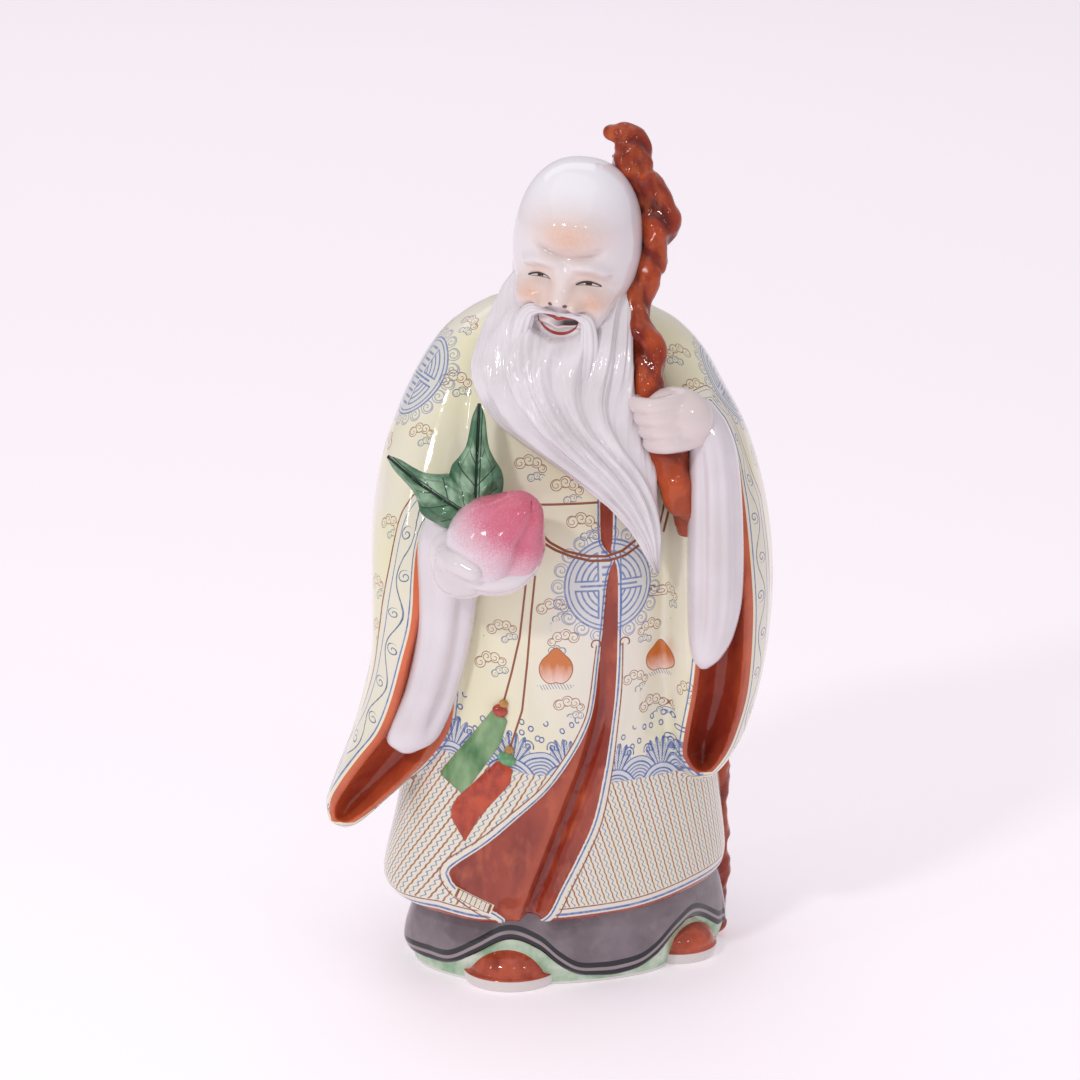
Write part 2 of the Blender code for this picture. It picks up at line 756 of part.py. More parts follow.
def build():
    for old in list(bpy.data.objects):
        bpy.data.objects.remove(old)
    figure_home = bpy.data.collections.new("porcelain_figurine")
    cutters = bpy.data.collections.new("cutters")
    for home in (figure_home, cutters):
        bpy.context.scene.collection.children.link(home)

    peach = ellipsoid("peach", (0, 0, 0), (PEACH_RADIUS,) * 3, shape=peach_shape)
    pieces = [
        robe_solid(cutters),
        draped("under_robe", UNDER_ROBE, BASE_TURN, around=144, step=1.2, square=2.0, carve=under_robe_carve),
        draped("left_cuff", LEFT_CUFF, carve=left_cuff_carve),
        draped("right_cuff", RIGHT_CUFF, 0.1, carve=right_cuff_carve),
        draped("beard", BEARD, 0.0, around=160, step=1.2, carve=beard_carve),
        *head(),
        *moustache(),
        staff_rod(),
        aim_at(peach, PEACH_CENTRE, PEACH_TIP),
        leaf("low_leaf", (-34, -67, 189), (-65, -51, 207.5), 9.6, 4.5),
        leaf("high_leaf", (-33, -66, 191), (-31.5, -50, 227), 10.0, 4.5),
        *staff_hand(),
        *peach_hand(),
    ]
    for i, shoe in enumerate(SHOES):
        pieces.append(ellipsoid(f"shoe{i}", shoe["centre"], shoe["radii"], shoe["turn"]))

    figure = fused(joined(FIGURE_NAME, pieces), FIGURE_VOXEL, 3)
    skin = as_mesh(figure)
    skin.data.transform(Matrix.Scale(UNIT, 4))
    fewer = skin.modifiers.new("fewer_facets", "DECIMATE")
    fewer.ratio = FIGURE_TRIANGLES / (2 * len(skin.data.polygons))

    ground_half = 150 * UNIT
    bm = bmesh.new()
    bmesh.ops.create_cube(bm, size=2 * ground_half)
    bmesh.ops.translate(bm, verts=bm.verts, vec=(0, 0, -ground_half))
    cut_away(skin, new_mesh_object("ground", bm), cutters)

    bpy.context.scene.collection.objects.unlink(skin)
    figure_home.objects.link(skin)
    skin.data.materials.clear()
    skin.data.materials.append(porcelain())
    skin.data.shade_smooth()
    skin.data.set_sharp_from_angle(angle=math.radians(50))


build()
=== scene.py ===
"""The finished look of the porcelain elder: fine relief, glaze, painted robe, light and camera."""

import json
import math

import bmesh
import bpy
import numpy as np
from mathutils import Matrix, Vector
from mathutils.bvhtree import BVHTree

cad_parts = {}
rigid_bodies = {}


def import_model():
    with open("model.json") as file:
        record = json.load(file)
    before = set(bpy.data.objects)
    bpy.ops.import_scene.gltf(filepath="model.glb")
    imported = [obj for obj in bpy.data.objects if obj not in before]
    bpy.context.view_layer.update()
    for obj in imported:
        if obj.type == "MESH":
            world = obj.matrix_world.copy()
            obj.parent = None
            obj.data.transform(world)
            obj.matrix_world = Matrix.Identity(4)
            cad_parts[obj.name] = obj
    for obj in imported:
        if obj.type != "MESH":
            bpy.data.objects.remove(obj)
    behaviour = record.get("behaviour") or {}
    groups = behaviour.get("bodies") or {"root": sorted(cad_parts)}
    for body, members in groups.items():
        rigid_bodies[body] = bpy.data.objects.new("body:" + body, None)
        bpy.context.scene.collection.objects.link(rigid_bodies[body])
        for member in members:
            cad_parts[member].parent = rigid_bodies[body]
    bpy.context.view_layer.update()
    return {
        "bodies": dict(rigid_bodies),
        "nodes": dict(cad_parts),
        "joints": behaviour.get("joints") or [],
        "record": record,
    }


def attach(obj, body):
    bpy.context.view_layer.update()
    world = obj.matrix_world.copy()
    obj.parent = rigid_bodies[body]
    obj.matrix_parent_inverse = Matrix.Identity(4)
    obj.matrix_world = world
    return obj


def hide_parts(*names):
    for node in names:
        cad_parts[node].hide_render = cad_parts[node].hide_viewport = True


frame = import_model()

UNIT = 0.001

# Forms of the figure, in steps of 1 mm, as the frame has them: (z, left, right, front, back)
BODY_TURN = 0.14
BASE_TURN = 0.14
TORSO = [
    (29, -67, 61.5, -53, 47), (33, -69.5, 62.5, -55, 47.5), (40, -69, 62.5, -54, 47),
    (62, -64.5, 60.5, -53, 46), (92, -59, 58, -52, 45), (125, -53, 54, -52, 44),
    (165, -51, 52, -52, 43), (200, -49, 50, -46, 41), (225, -45, 47, -38, 37),
    (241, -36, 41, -30, 32), (251, -25, 33, -24, 27), (258, -14, 24, -20, 21),
    (263, -6, 15, -14, 14),
]
UNDER_ROBE = [
    (0, -59.5, 61, -46, 43), (4, -60.5, 62, -47, 44.5), (9, -61.5, 62.5, -48, 45),
    (16, -60.5, 62, -48, 45), (30, -56, 60, -46, 44), (52, -50, 54, -44, 40),
]
LEFT_SLEEVE = [
    (58, -86, -81, -33, -27), (61.5, -89.8, -76, -37, -23), (68.5, -90.5, -69, -41, -18),
    (79, -87.2, -58, -46, -11), (92, -82, -46, -50, -4), (105.5, -77.6, -39, -52, 2),
    (124, -73.4, -34, -54, 8), (143, -73, -30, -54, 14), (173, -72.7, -28, -50, 20),
    (198, -68.7, -26, -41, 24), (212.5, -63.9, -24, -35, 25), (229, -56.3, -22, -29, 24),
    (243.5, -46.5, -19, -22, 21), (251, -37, -16, -17, 17), (256, -28, -14, -12, 12),
]
RIGHT_SLEEVE = [
    (78, 49, 54, -35, -28), (81, 44.5, 59, -39, -21), (88.3, 41, 64.6, -44, -11),
    (99, 39, 70.1, -48, -2), (115.6, 38, 74.7, -51, 7), (134.7, 37, 77.6, -52, 13),
    (157.7, 36, 78.5, -51, 19), (173, 35, 77.2, -48, 22), (191.7, 34, 73.3, -43, 25),
    (208.3, 31, 67.6, -37, 27), (222.6, 28, 60, -31, 27), (236, 24, 52, -25, 25),
    (246, 20, 42.5, -19, 21), (252, 17, 32, -14, 16), (256, 14, 25, -9, 11),
]
RIGHT_SLEEVE_TURN = 0.25
LEFT_MOUTH = [
    (62, -88, -80, -90, -29), (68, -89, -72, -90, -28), (79, -84, -60, -90, -32),
    (90, -77, -50, -90, -36), (101, -69.5, -43.5, -90, -40), (114, -64.5, -41.5, -90, -43),
    (131, -60, -42, -90, -45), (143, -57, -42, -90, -47), (152, -56, -41, -90, -50),
    (162, -55.6, -40, -90, -51), (173, -54.5, -39, -90, -49), (182, -51.5, -38.5, -90, -47),
    (187.5, -46, -39, -90, -46),
]
RIGHT_MOUTH = [
    (83, 49, 55, -90, -33), (89.5, 44.5, 59.5, -90, -30), (99, 44.5, 63.2, -90, -33),
    (117, 47, 67.6, -90, -38), (145, 50, 68.9, -90, -41), (168, 56, 67.5, -90, -41),
    (191, 61, 65, -90, -41), (203, 59.5, 63, -90, -43), (214, 55.5, 59, -90, -43),
    (222, 50.5, 53, -90, -43),
]
LEFT_CUFF = [
    (93.5, -62, -56, -50, -44), (97, -66.5, -49, -53, -38), (104, -65.5, -44.5, -55, -35),
    (119.5, -59.5, -39, -58, -33), (139, -55.5, -34.5, -60, -32), (155, -54.8, -32, -61, -31),
    (175, -54.3, -30, -63, -30), (187, -50, -30, -63, -34),
]
RIGHT_CUFF = [
    (127.5, 49, 53, -54, -48), (131, 46.5, 57.5, -57, -41), (138.5, 45, 62.2, -58, -34),
    (154, 44.5, 65.3, -59, -32), (184, 44.5, 65, -58, -30), (207, 44.5, 62.6, -56, -28),
    (218, 44, 58.5, -53, -28), (226, 43, 52, -49, -34),
]
BEARD = [
    (164.5, 33.0, 34.0, -55, -53), (171.5, 28.8, 34.5, -59, -49), (178, 25, 35, -61, -46),
    (188, 17, 34, -62.5, -42), (197, 6, 32.5, -62.5, -38), (204, -4, 30.5, -62, -34),
    (211, -15, 28, -61, -31), (219, -25.5, 26, -59.5, -28), (229, -32, 24.5, -58, -24),
    (239, -34.5, 24.5, -55, -20), (246, -33, 25, -52, -17), (252, -30.5, 25.5, -48.5, -14),
    (259, -26, 26, -44, -12), (266, -21.5, 26.5, -37, -10), (272, -17.5, 26, -28, -10),
]
HEAD_CENTRE = (4.3, -22.0, 277.5)
HEAD_RADII = (23.6, 26.5, 34.8)
HEAD_ROLL = 3.0
HEAD_YAW = -11.0
HEAD_NOD = 4.0
FACE_TILT = math.radians(5.5)
# The staff, and its end beside the skirt: (x, y, z, radius)
STAFF = [
    (16.6, -12, 320.0, 3.2), (20.4, -12.5, 319.0, 5.0), (24.3, -13, 314.5, 7.1),
    (24.9, -14, 308.5, 7.6), (25.8, -15, 303.5, 7.0), (29.0, -16, 299.0, 6.8),
    (33.0, -18, 294.0, 6.6), (34.4, -20, 287.0, 7.4), (32.6, -22, 280.6, 5.8),
    (31.3, -24, 274.4, 5.8), (28.9, -27, 268.2, 5.6), (26.2, -30, 262.4, 5.1),
    (25.6, -33, 255.7, 5.5), (27.4, -36, 250.0, 5.7), (30.0, -39, 244.0, 5.7),
    (30.9, -42, 236.0, 5.8), (31.2, -44, 229.0, 5.6), (34.0, -46, 216.0, 6.2),
    (36.8, -47, 208.0, 7.2), (39.6, -47, 200.0, 7.0), (41.4, -46, 190.0, 6.6),
    (47.0, -42, 179.3, 6.0), (52.0, -30, 150.0, 5.4), (56.5, -10, 110.0, 5.2),
    (58.6, 6, 80.0, 5.0), (58.9, 9, 66.0, 5.4), (59.5, 10, 52.0, 4.8),
    (58.8, 10, 38.0, 5.5), (59.4, 10, 26.0, 5.1), (58.7, 9, 12.0, 5.5), (58.4, 8, 5.2, 5.0),
]
PEACH_CENTRE = (-25.5, -69.0, 179.5)
PEACH_RADIUS = 18.0
PEACH_TIP = (0.55, -0.30, 0.78)
# Edges and crease of the panels in front: (height, x)
LEFT_FLAP = [
    (30.5, -22.6), (36.1, -32.6), (41.6, -41.1), (46.3, -44.0), (49.9, -41.1), (58.9, -29.3),
    (68.5, -18.6), (79.0, -7.0), (89.2, 0.7), (99.3, 6.5), (109.4, 10.3), (129.5, 12.6),
    (144.5, 14.0), (158, 15.2), (164, 16.4), (167.5, 18.0), (170.5, 15.6), (174, 13.2), (190, 12.7),
]
RIGHT_FLAP = [
    (28.6, -10.8), (31.2, -6.9), (42.1, -1.1), (53.4, 4.7), (66.4, 10.5), (83.8, 14.3),
    (104.1, 17.1), (119.2, 18.7), (139.2, 19.3), (158, 19.4), (164, 19.0), (167.5, 18.0),
    (170.5, 16.6), (174, 17.2), (190, 17.6),
]
FLAP_CREASE = [
    (31.2, -13.8), (49.2, -7.0), (72.2, 1.8), (92.9, 9.4), (109.1, 13.2), (129.2, 14.6),
    (150, 15.4), (190, 14.6),
]
# The plaque and the tassel at the left: (x, height)
PLAQUE = [(-26.2, 111.9), (-21.4, 106.9), (-24.3, 97.6), (-37.9, 77.3), (-47.0, 84.1), (-38.3, 95.8)]
TASSEL = [
    (-25.3, 91.6), (-19.7, 88.5), (-20.5, 82.8), (-32.1, 69.5), (-37.5, 59.3), (-43.3, 69.2),
    (-40.8, 75.3),
]


def through(keys, t):
    """The values at t on the smooth line through keys, rows of (t, value, value, ...)."""
    keys = np.asarray(keys, float)
    places, values = keys[:, 0], keys[:, 1:]
    last = len(places) - 1
    t = np.clip(np.asarray(t, float), places[0], places[-1])
    i = np.clip(np.searchsorted(places, t, side="right") - 1, 0, last - 1)
    low = np.maximum(np.arange(last + 1) - 1, 0)
    high = np.minimum(np.arange(last + 1) + 1, last)
    slope = (values[high] - values[low]) / (places[high] - places[low])[:, None]
    span = (places[i + 1] - places[i])[..., None]
    s = (t - places[i])[..., None] / span
    bend = (2 * s**3 - 3 * s**2 + 1) * values[i] + (3 * s**2 - 2 * s**3) * values[i + 1]
    return bend + span * ((s**3 - 2 * s**2 + s) * slope[i] + (s**3 - s**2) * slope[i + 1])


def sides_at(outline, z):
    """The left and the right of a form at height z."""
    values = through(outline, z)
    return values[..., 0], values[..., 1]


def fade(value, low, high):
    """0 below low, 1 above high, and a smooth rise between them."""
    s = np.clip((value - low) / (high - low), 0.0, 1.0)
    return s * s * (3 - 2 * s)


def bump(value, middle, width):
    """A rounded bump of height 1 at middle, which dies out at about twice width."""
    return np.exp(-(((value - middle) / width) ** 2))


def ripple(points, size, seed):
    """Smooth unevenness between about -1 and 1, with swells about size apart."""
    rng = np.random.default_rng(seed)
    total = np.zeros(len(points))
    for _ in range(7):
        way = rng.normal(size=3)
        way *= 2 * math.pi / size * (0.6 + 0.8 * rng.random()) / np.linalg.norm(way)
        total += np.sin(points @ way + rng.uniform(0, 2 * math.pi))
    return total / 4.0


def add_object(name, mesh):
    piece = bpy.data.objects.new(name, mesh)
    bpy.context.scene.collection.objects.link(piece)
    return piece


def skin(name, rows):
    """A closed skin over rings of points (rings, around, 3) in steps, with its ends closed."""
    count, around, _ = rows.shape
    i = np.arange(count - 1)[:, None] * around
    j = np.arange(around)[None, :]
    k = (j + 1) % around
    quads = np.stack([i + j, i + k, i + around + k, i + around + j], axis=-1).reshape(-1, 4)
    faces = quads.tolist()
    faces.append(list(range(around))[::-1])
    faces.append([(count - 1) * around + n for n in range(around)])
    mesh = bpy.data.meshes.new(name)
    mesh.from_pydata((rows.reshape(-1, 3) * UNIT).tolist(), [], faces)
    face_outward(mesh)
    return add_object(name, mesh)


def face_outward(mesh):
    bm = bmesh.new()
    bm.from_mesh(mesh)
    bmesh.ops.recalc_face_normals(bm, faces=bm.faces)
    bm.to_mesh(mesh)
    bm.free()


def outline_rings(outline, turn, around, step, square):
    """Points, middles and angles of a form drawn by its outlines by height."""
    bottom, top = outline[0][0], outline[-1][0]
    z = np.linspace(bottom, top, max(8, round((top - bottom) / step)) + 1)
    left, right, front, back = through(outline, z).T
    angle = np.linspace(0, 2 * math.pi, around, endpoint=False)
    across_share = np.sign(np.cos(angle)) * np.abs(np.cos(angle)) ** (2 / square)
    along_share = np.sign(np.sin(angle)) * np.abs(np.sin(angle)) ** (2 / square)
    across = ((right - left) / 2)[:, None] * across_share[None, :]
    along = ((back - front) / 2)[:, None] * along_share[None, :]
    middle = np.stack([(left + right) / 2, (front + back) / 2, z], axis=-1)
    middle = np.repeat(middle[:, None, :], around, axis=1)
    points = middle + np.stack([across, along + turn * across, np.zeros_like(across)], axis=-1)
    shape = points.shape
    angles = np.repeat(angle[None, :], len(z), axis=0).ravel()
    return points.reshape(-1, 3), middle.reshape(-1, 3), angles, shape


def draped(name, outline, turn=0.0, around=200, step=1.0, square=2.2, carve=None):
    """A form drawn by its outlines by height; carve moves the points of its skin."""
    points, middle, angles, shape = outline_rings(outline, turn, around, step, square)
    if carve:
        points = carve(points, middle, angles)
    return skin(name, points.reshape(shape))


def outward(points, middle):
    way = points - middle
    way[:, 2] = 0
    length = np.linalg.norm(way, axis=1, keepdims=True)
    return way / np.maximum(length, 1e-6)


def hem_height(x):
    """The robe's lower edge, by x, for the front and the back alike."""
    return 27.8 + 2.6 * np.abs(x) / 60 - 2.0 * bump(x, -30, 16) + 2.4 * fade(x, 22, 54)


def torso_carve(points, middle, angles):
    """Folds of the robe: the parted front, the spreading hem and the creases of the back."""
    x, y, z = points.T
    front = y < middle[:, 1]
    crease = through(FLAP_CREASE, z)[..., 0]
    low = 1 - fade(z, 95, 135)
    fold = low * (3.4 * bump(x, crease, 3.0) - 1.2 * bump(x, crease + 6, 3.0))
    fold += low * 0.9 * bump(x, crease - 9 - 0.1 * (90 - z), 3.0)
    fold += 1.3 * bump(z, 187, 4.0) * (1 - fade(np.abs(x), 20, 34))
    fold += 1.3 * bump(x + 0.25 * (z - 120), -12, 4.0) * bump(z, 125, 30)
    fold += 1.1 * bump(x + 0.30 * (z - 120), -28, 4.0) * bump(z, 120, 34)
    fold += 1.2 * bump(x - 0.10 * (z - 110), 34, 4.0) * bump(z, 115, 30)
    back_low = 1 - fade(z, 60, 190)
    creases = 2.2 * back_low * np.sin(7 * angles + 0.012 * z) * fade(y, 0, 18)
    moved = points - outward(points, middle) * np.where(front, fold, creases)[:, None]
    hem = 1 - fade(z, 34, 60)
    moved[:, 2] += hem * (hem_height(x) - 29)
    moved[:, 2] += hem * 1.6 * bump(x, -13, 2.0) * front
    return moved


def sunk_folds(folds, top, bottom=None):
    """A carve that sinks long folds, each (angle, depth, width), which fade out at top and at bottom."""

    def carve(points, middle, angles):
        z = points[:, 2]
        share = 1 - fade(z, *top)
        if bottom:
            share = share * fade(z, *bottom)
        depth = sum(deep * bump(angles, angle, width) for angle, deep, width in folds)
        return points - outward(points, middle) * (share * depth)[:, None]

    return carve


LEFT_SLEEVE_FOLDS = sunk_folds([(2.6, 1.6, 0.22), (1.9, 1.4, 0.2), (3.3, 0.9, 0.16)], (120, 215))
RIGHT_SLEEVE_FOLDS = sunk_folds([(0.5, 1.6, 0.22), (1.2, 1.4, 0.2), (6.0, 0.9, 0.16)], (130, 220))
LEFT_CUFF_FOLDS = sunk_folds([(5.25, 3.0, 0.35), (4.35, 0.9, 0.2)], (150, 176), (95, 112))
RIGHT_CUFF_FOLDS = sunk_folds(
    [(4.25, 1.7, 0.22), (5.45, 1.3, 0.25), (4.85, 0.8, 0.16)], (195, 226), (130, 150)
)


def under_robe_carve(points, middle, angles):
    """The grey under-robe rises over each shoe and dips between them."""
    x, y, z = points.T
    front = y < middle[:, 1] + 6
    rise = np.where(front, 0, 1.5 + 2.0 * np.sin(5 * angles))
    hem = fade(z, 1, 9) * (1 - fade(z, 9, 40))
    moved = points.copy()
    moved[:, 2] += hem * rise
    hollow = 5.0 * bump(x, 49, 9) * (1 - fade(z, 8, 22)) * (y < middle[:, 1])
    flare = 1.1 * (fade(z - under_hem(x, y), -0.4, 0.5) - 1)
    return moved - outward(points, middle) * (1.2 * np.sin(9 * angles) * hem + hollow - flare)[:, None]


UNDER_HEM = [
    (-61.6, 4.0), (-52.9, 4.7), (-44.6, 6.2), (-34.6, 12.0), (-21.7, 18.4), (-9.9, 15.2),
    (-2.0, 8.9), (4.9, 4.4), (12.8, 2.9), (19.8, 2.5), (28.8, 3.9), (34.8, 7.6),
    (42.9, 14.6), (50.1, 17.4), (60.3, 8.6),
]


def under_hem(x, y):
    """Height of the grey cloth's wavy edge."""
    front = through(UNDER_HEM, x)[..., 0]
    back = 6.5 + 1.6 * np.sin(x / 8.0)
    share = fade(y, -8, 8)
    return front * (1 - share) + back * share


# The open mouth in the axes of the face: the middle's height, and the beard's opening round it
MOUTH_HEIGHT = -20.6
MOUTH_REACH = (8.6, 5.2)


def head_pose():
    pose = Matrix.Translation(HEAD_CENTRE) @ Matrix.Rotation(math.radians(HEAD_YAW), 4, "Z")
    pose @= Matrix.Rotation(math.radians(HEAD_ROLL), 4, "Y")
    return pose @ Matrix.Rotation(math.radians(HEAD_NOD), 4, "X")


def face_place(points):
    """Points of the head in the axes of the face, which leans a little more than the skull."""
    x, y, z = points.T
    cos, sin = math.cos(FACE_TILT), math.sin(FACE_TILT)
    return np.stack([x * cos - z * sin, y, x * sin + z * cos], axis=-1)


def to_head(points):
    """Points of the figure in the axes of the face."""
    matrix = np.array(head_pose().inverted())
    return face_place(points @ matrix[:3, :3].T + matrix[:3, 3])


def from_face(place):
    """A place in the axes of the face, as a place on the figure."""
    x, y, z = place
    cos, sin = math.cos(FACE_TILT), math.sin(FACE_TILT)
    return head_pose() @ Vector((x * cos + z * sin, y, z * cos - x * sin))


def beard_carve(points, middle, angles):
    """Locks that part at the chin and sweep down to the tip, drawn with fine strands."""
    x, y, z = points.T
    left, right = sides_at(BEARD, z)
    wide = np.maximum(right - left, 1.0)
    across = (x - left) / wide
    front = 1 - fade(y, middle[:, 1] - 2, middle[:, 1] + 6)
    sway = 0.35 * np.sin(0.06 * z) + 0.16 * np.sin(0.13 * z + 6 * across)
    locks = 1.3 * np.cos(2 * math.pi * (6.0 * across + sway))
    locks += 0.7 * np.sin(2 * math.pi * (3.3 * across + 0.3 * np.sin(0.05 * z + 1.0)) + 0.8)
    strand = across * 21 + 0.9 * np.sin(0.05 * z + 4 * across) + 0.4 * np.sin(0.12 * z + 9 * across)
    fine = np.abs(np.cos(math.pi * strand)) - 0.62
    finer = np.abs(np.cos(math.pi * (2.3 * strand + 0.3 * np.sin(0.2 * z)))) - 0.62
    shrink = np.clip(wide / 42, 0.25, 1.0)
    depth = 0.55 + 0.35 * np.sin(0.07 * z + 11 * across)
    relief = locks * np.clip(wide / 30, 0.2, 1.0) + depth * fine * shrink + 0.25 * finer * shrink
    moved = points + outward(points, middle) * (front * relief)[:, None]
    local = to_head(moved)
    gap = np.hypot(local[:, 0] / MOUTH_REACH[0], (local[:, 2] - MOUTH_HEIGHT) / MOUTH_REACH[1])
    opening = 7.0 * (1 - fade(gap, 0.96, 1.12)) + 2.6 * (1 - fade(gap, 1.0, 2.2))
    moved[:, 1] += opening * front * (local[:, 1] < -6)
    return moved


def baked(piece):
    """The piece with its modifiers applied, as a plain mesh object."""
    graph = bpy.context.evaluated_depsgraph_get()
    mesh = bpy.data.meshes.new_from_object(piece.evaluated_get(graph))
    name = piece.name
    bpy.data.objects.remove(piece)
    return add_object(name, mesh)


def joined(name, pieces):
    bm = bmesh.new()
    for piece in pieces:
        bm.from_mesh(piece.data)
        bpy.data.objects.remove(piece)
    mesh = bpy.data.meshes.new(name)
    bm.to_mesh(mesh)
    bm.free()
    return add_object(name, mesh)


def fused(piece, voxel, rounds):
    """Overlapping closed forms made one skin, softened as a glaze softens them."""
    remesh = piece.modifiers.new("one_skin", "REMESH")
    remesh.mode = "VOXEL"
    remesh.voxel_size = voxel * UNIT
    soften = piece.modifiers.new("soften", "SMOOTH")
    soften.factor = 0.5
    soften.iterations = rounds
    return baked(piece)


def cut_away(piece, cutter):
    cut = piece.modifiers.new("cut", "BOOLEAN")
    cut.operation = "DIFFERENCE"
    cut.object = cutter
    done = baked(piece)
    bpy.data.objects.remove(cutter)
    return done


def thinned(piece, triangles):
    mesh = piece.data
    mesh.calc_loop_triangles()
    have = len(mesh.loop_triangles)
    if have <= triangles:
        return piece
    fewer = piece.modifiers.new("fewer", "DECIMATE")
    fewer.ratio = triangles / have
    return baked(piece)


def points_of(mesh):
    found = np.empty(len(mesh.vertices) * 3)
    mesh.vertices.foreach_get("co", found)
    return found.reshape(-1, 3) / UNIT


def normals_of(mesh):
    found = np.empty(len(mesh.vertices) * 3)
    mesh.vertices.foreach_get("normal", found)
    return found.reshape(-1, 3)


def set_points(mesh, points):
    mesh.vertices.foreach_set("co", (points * UNIT).ravel())
    mesh.update()


def put(mesh, name, *columns):
    """Stores up to three values a point under name, for the materials to read."""
    columns = list(columns) + [np.zeros(len(columns[0]))] * (3 - len(columns))
    values = np.stack(columns, axis=-1).astype(np.float32)
    attribute = mesh.attributes.new(name, "FLOAT_VECTOR", "POINT")
    attribute.data.foreach_set("vector", values.ravel())


def form_share(points, outline, turn, square=2.2):
    """1 on a form's skin, less inside it and more outside it."""
    z = points[:, 2]
    left, right, front, back = through(outline, z).T
    x = points[:, 0] - (left + right) / 2
    y = points[:, 1] - (front + back) / 2 - turn * x
    share = np.abs(x / ((right - left) / 2)) ** square + np.abs(y / ((back - front) / 2)) ** square
    share = share ** (1 / square)
    outside = (z < outline[0][0] - 1.5) | (z > outline[-1][0] + 1.5)
    return np.where(outside, 9.0, share)


def line_distance(points, line, closed=False):
    """(distance, place along, side) from points to a line; side is 1 on the right of a flat line."""
    line = np.asarray(line, float)
    if closed:
        line = np.vstack([line, line[:1]])
    best = np.full(len(points), 1e9)
    along = np.zeros(len(points))
    side = np.ones(len(points))
    run = 0.0
    for a, b in zip(line, line[1:]):
        way = b - a
        length = np.linalg.norm(way)
        t = np.clip(((points - a) @ way) / length**2, 0, 1)
        gap = np.linalg.norm(points - a - t[:, None] * way, axis=1)
        turn = (points[:, 0] - a[0]) * way[1] - (points[:, 1] - a[1]) * way[0]
        closer = gap < best
        best = np.where(closer, gap, best)
        along = np.where(closer, run + t * length, along)
        side = np.where(closer, np.where(turn >= 0, 1.0, -1.0), side)
        run += length
    return best, along, side


# The sleeve border is painted for the front view, so it is wider on the skin by this share
BORDER_SHARE = 0.76
# How far outside a sleeve mouth's edge its depth is taken
RIM_STEP = 0.9


def flap_line(keys):
    z = np.arange(26, 190.1, 2.0)
    x = through(keys, z)[..., 0]
    return np.stack([x, z], axis=-1)


def mouth_line(outline):
    """The rim of a sleeve mouth seen from the front, as a closed line of (x, z)."""
    z = np.linspace(outline[0][0], outline[-1][0], 40)
    left, right = sides_at(outline, z)
    up = np.stack([left, z], axis=-1)
    down = np.stack([right, z], axis=-1)[::-1]
    return np.vstack([up, down])


def rim_on_robe(tree, outline):
    """The rim of a sleeve mouth as a closed line on the robe's skin."""
    found = []
    for x, z in mouth_line(outline):
        way_out = -RIM_STEP if x < sum(sides_at(outline, z)) / 2 else RIM_STEP
        spot = spot_in_front(tree, x + way_out, z)
        deep = spot[0][1] if spot else (found[-1][1] if found else -30.0)
        found.append((x, deep, z))
    return np.array(found)


def mouth_distance(points, tree, outline, behind):
    """Distance over the robe from a sleeve mouth's rim, less than 0 inside it, and the place along it.

    Close to the rim the distance is the one seen from the front, so that the two sides of it meet.
    """
    x, y, z = points.T
    gap, _, _ = line_distance(points[:, [0, 2]], mouth_line(outline), closed=True)
    left, right = sides_at(outline, z)
    inside = (x > left) & (x < right) & (z > outline[0][0]) & (z < outline[-1][0])
    reach, along, _ = line_distance(points, rim_on_robe(tree, outline), closed=True)
    hidden = 30.0 * fade(y, behind - 4, behind + 10)
    far = fade(reach, 1.5, 5.0)
    outside = gap * (1 - far) + BORDER_SHARE * reach * far
    return np.where(inside, hidden - gap, outside), along


def inside_shape(points, corners):
    """Distance to a flat shape of (x, z) corners on the front, less than 0 inside it."""
    flat = points[:, [0, 2]]
    gap, _, _ = line_distance(flat, corners, closed=True)
    inside = np.zeros(len(points), bool)
    shape = np.asarray(corners, float)
    for a, b in zip(shape, np.roll(shape, -1, axis=0)):
        crosses = (a[1] > flat[:, 1]) != (b[1] > flat[:, 1])
        rise = b[1] - a[1] if b[1] != a[1] else 1e-9
        inside ^= crosses & (flat[:, 0] < a[0] + (flat[:, 1] - a[1]) * (b[0] - a[0]) / rise)
    return np.where(inside, -gap, gap)


# Painted cords on the robe's front, as lines of (x, z)
WAIST_HEIGHT = 188.6
WAIST_ENDS = (-13, 12)
SAG_CORDS = [
    [(-9.5, 179.0), (-6.0, 175.2), (0.0, 171.8), (8.0, 169.6), (15.0, 169.0), (21.0, 170.6), (29.0, 176.0)],
    [(-9.0, 175.5), (-4.0, 172.4), (2.0, 169.8), (9.0, 167.8), (16.0, 167.4), (22.0, 168.8), (30.0, 173.5)],
]
TIP_CORD = [(36.6, 191.0), (36.1, 187.0), (34.9, 181.0), (33.4, 174.6)]
LEFT_CORD = [(-15.0, 157.0), (-17.0, 138.9), (-19.9, 125.9), (-23.2, 113.0)]
RIGHT_CORD = [(-11.4, 162.0), (-12.7, 148.9), (-14.2, 129.2), (-16.1, 111.1), (-21.0, 95.0)]
FROG_KNOTS = [(11.2, 135.8), (21.9, 135.8)]
LADDER = ((-34.5, 36.5), 0.42)

# Cloud motifs on the robe: (x, z) seen from the front
FRONT_CLOUDS = [
    (-13.1, 202.8), (0.3, 194.7), (6.2, 181.4), (-5.1, 150.5), (-23.9, 142.1),
    (-0.7, 138.4), (-28.0, 129.0), (1.2, 112.5), (38.6, 152.8), (31.4, 139.6), (26.0, 120.6),
    (44.5, 117.5), (32.2, 109.4), (-35.9, 249.5), (-40.9, 230.5), (-53.6, 212.0), (-66.0, 205.0),
    (-65.1, 179.2), (-70.0, 155.6), (-70.0, 139.2), (37.0, 249.5), (42.1, 239.4), (47.9, 227.5),
    (61.2, 219.6), (70.7, 198.7),
]
# The least distance between two clouds away from the front
CLOUD_GAP = 17.0
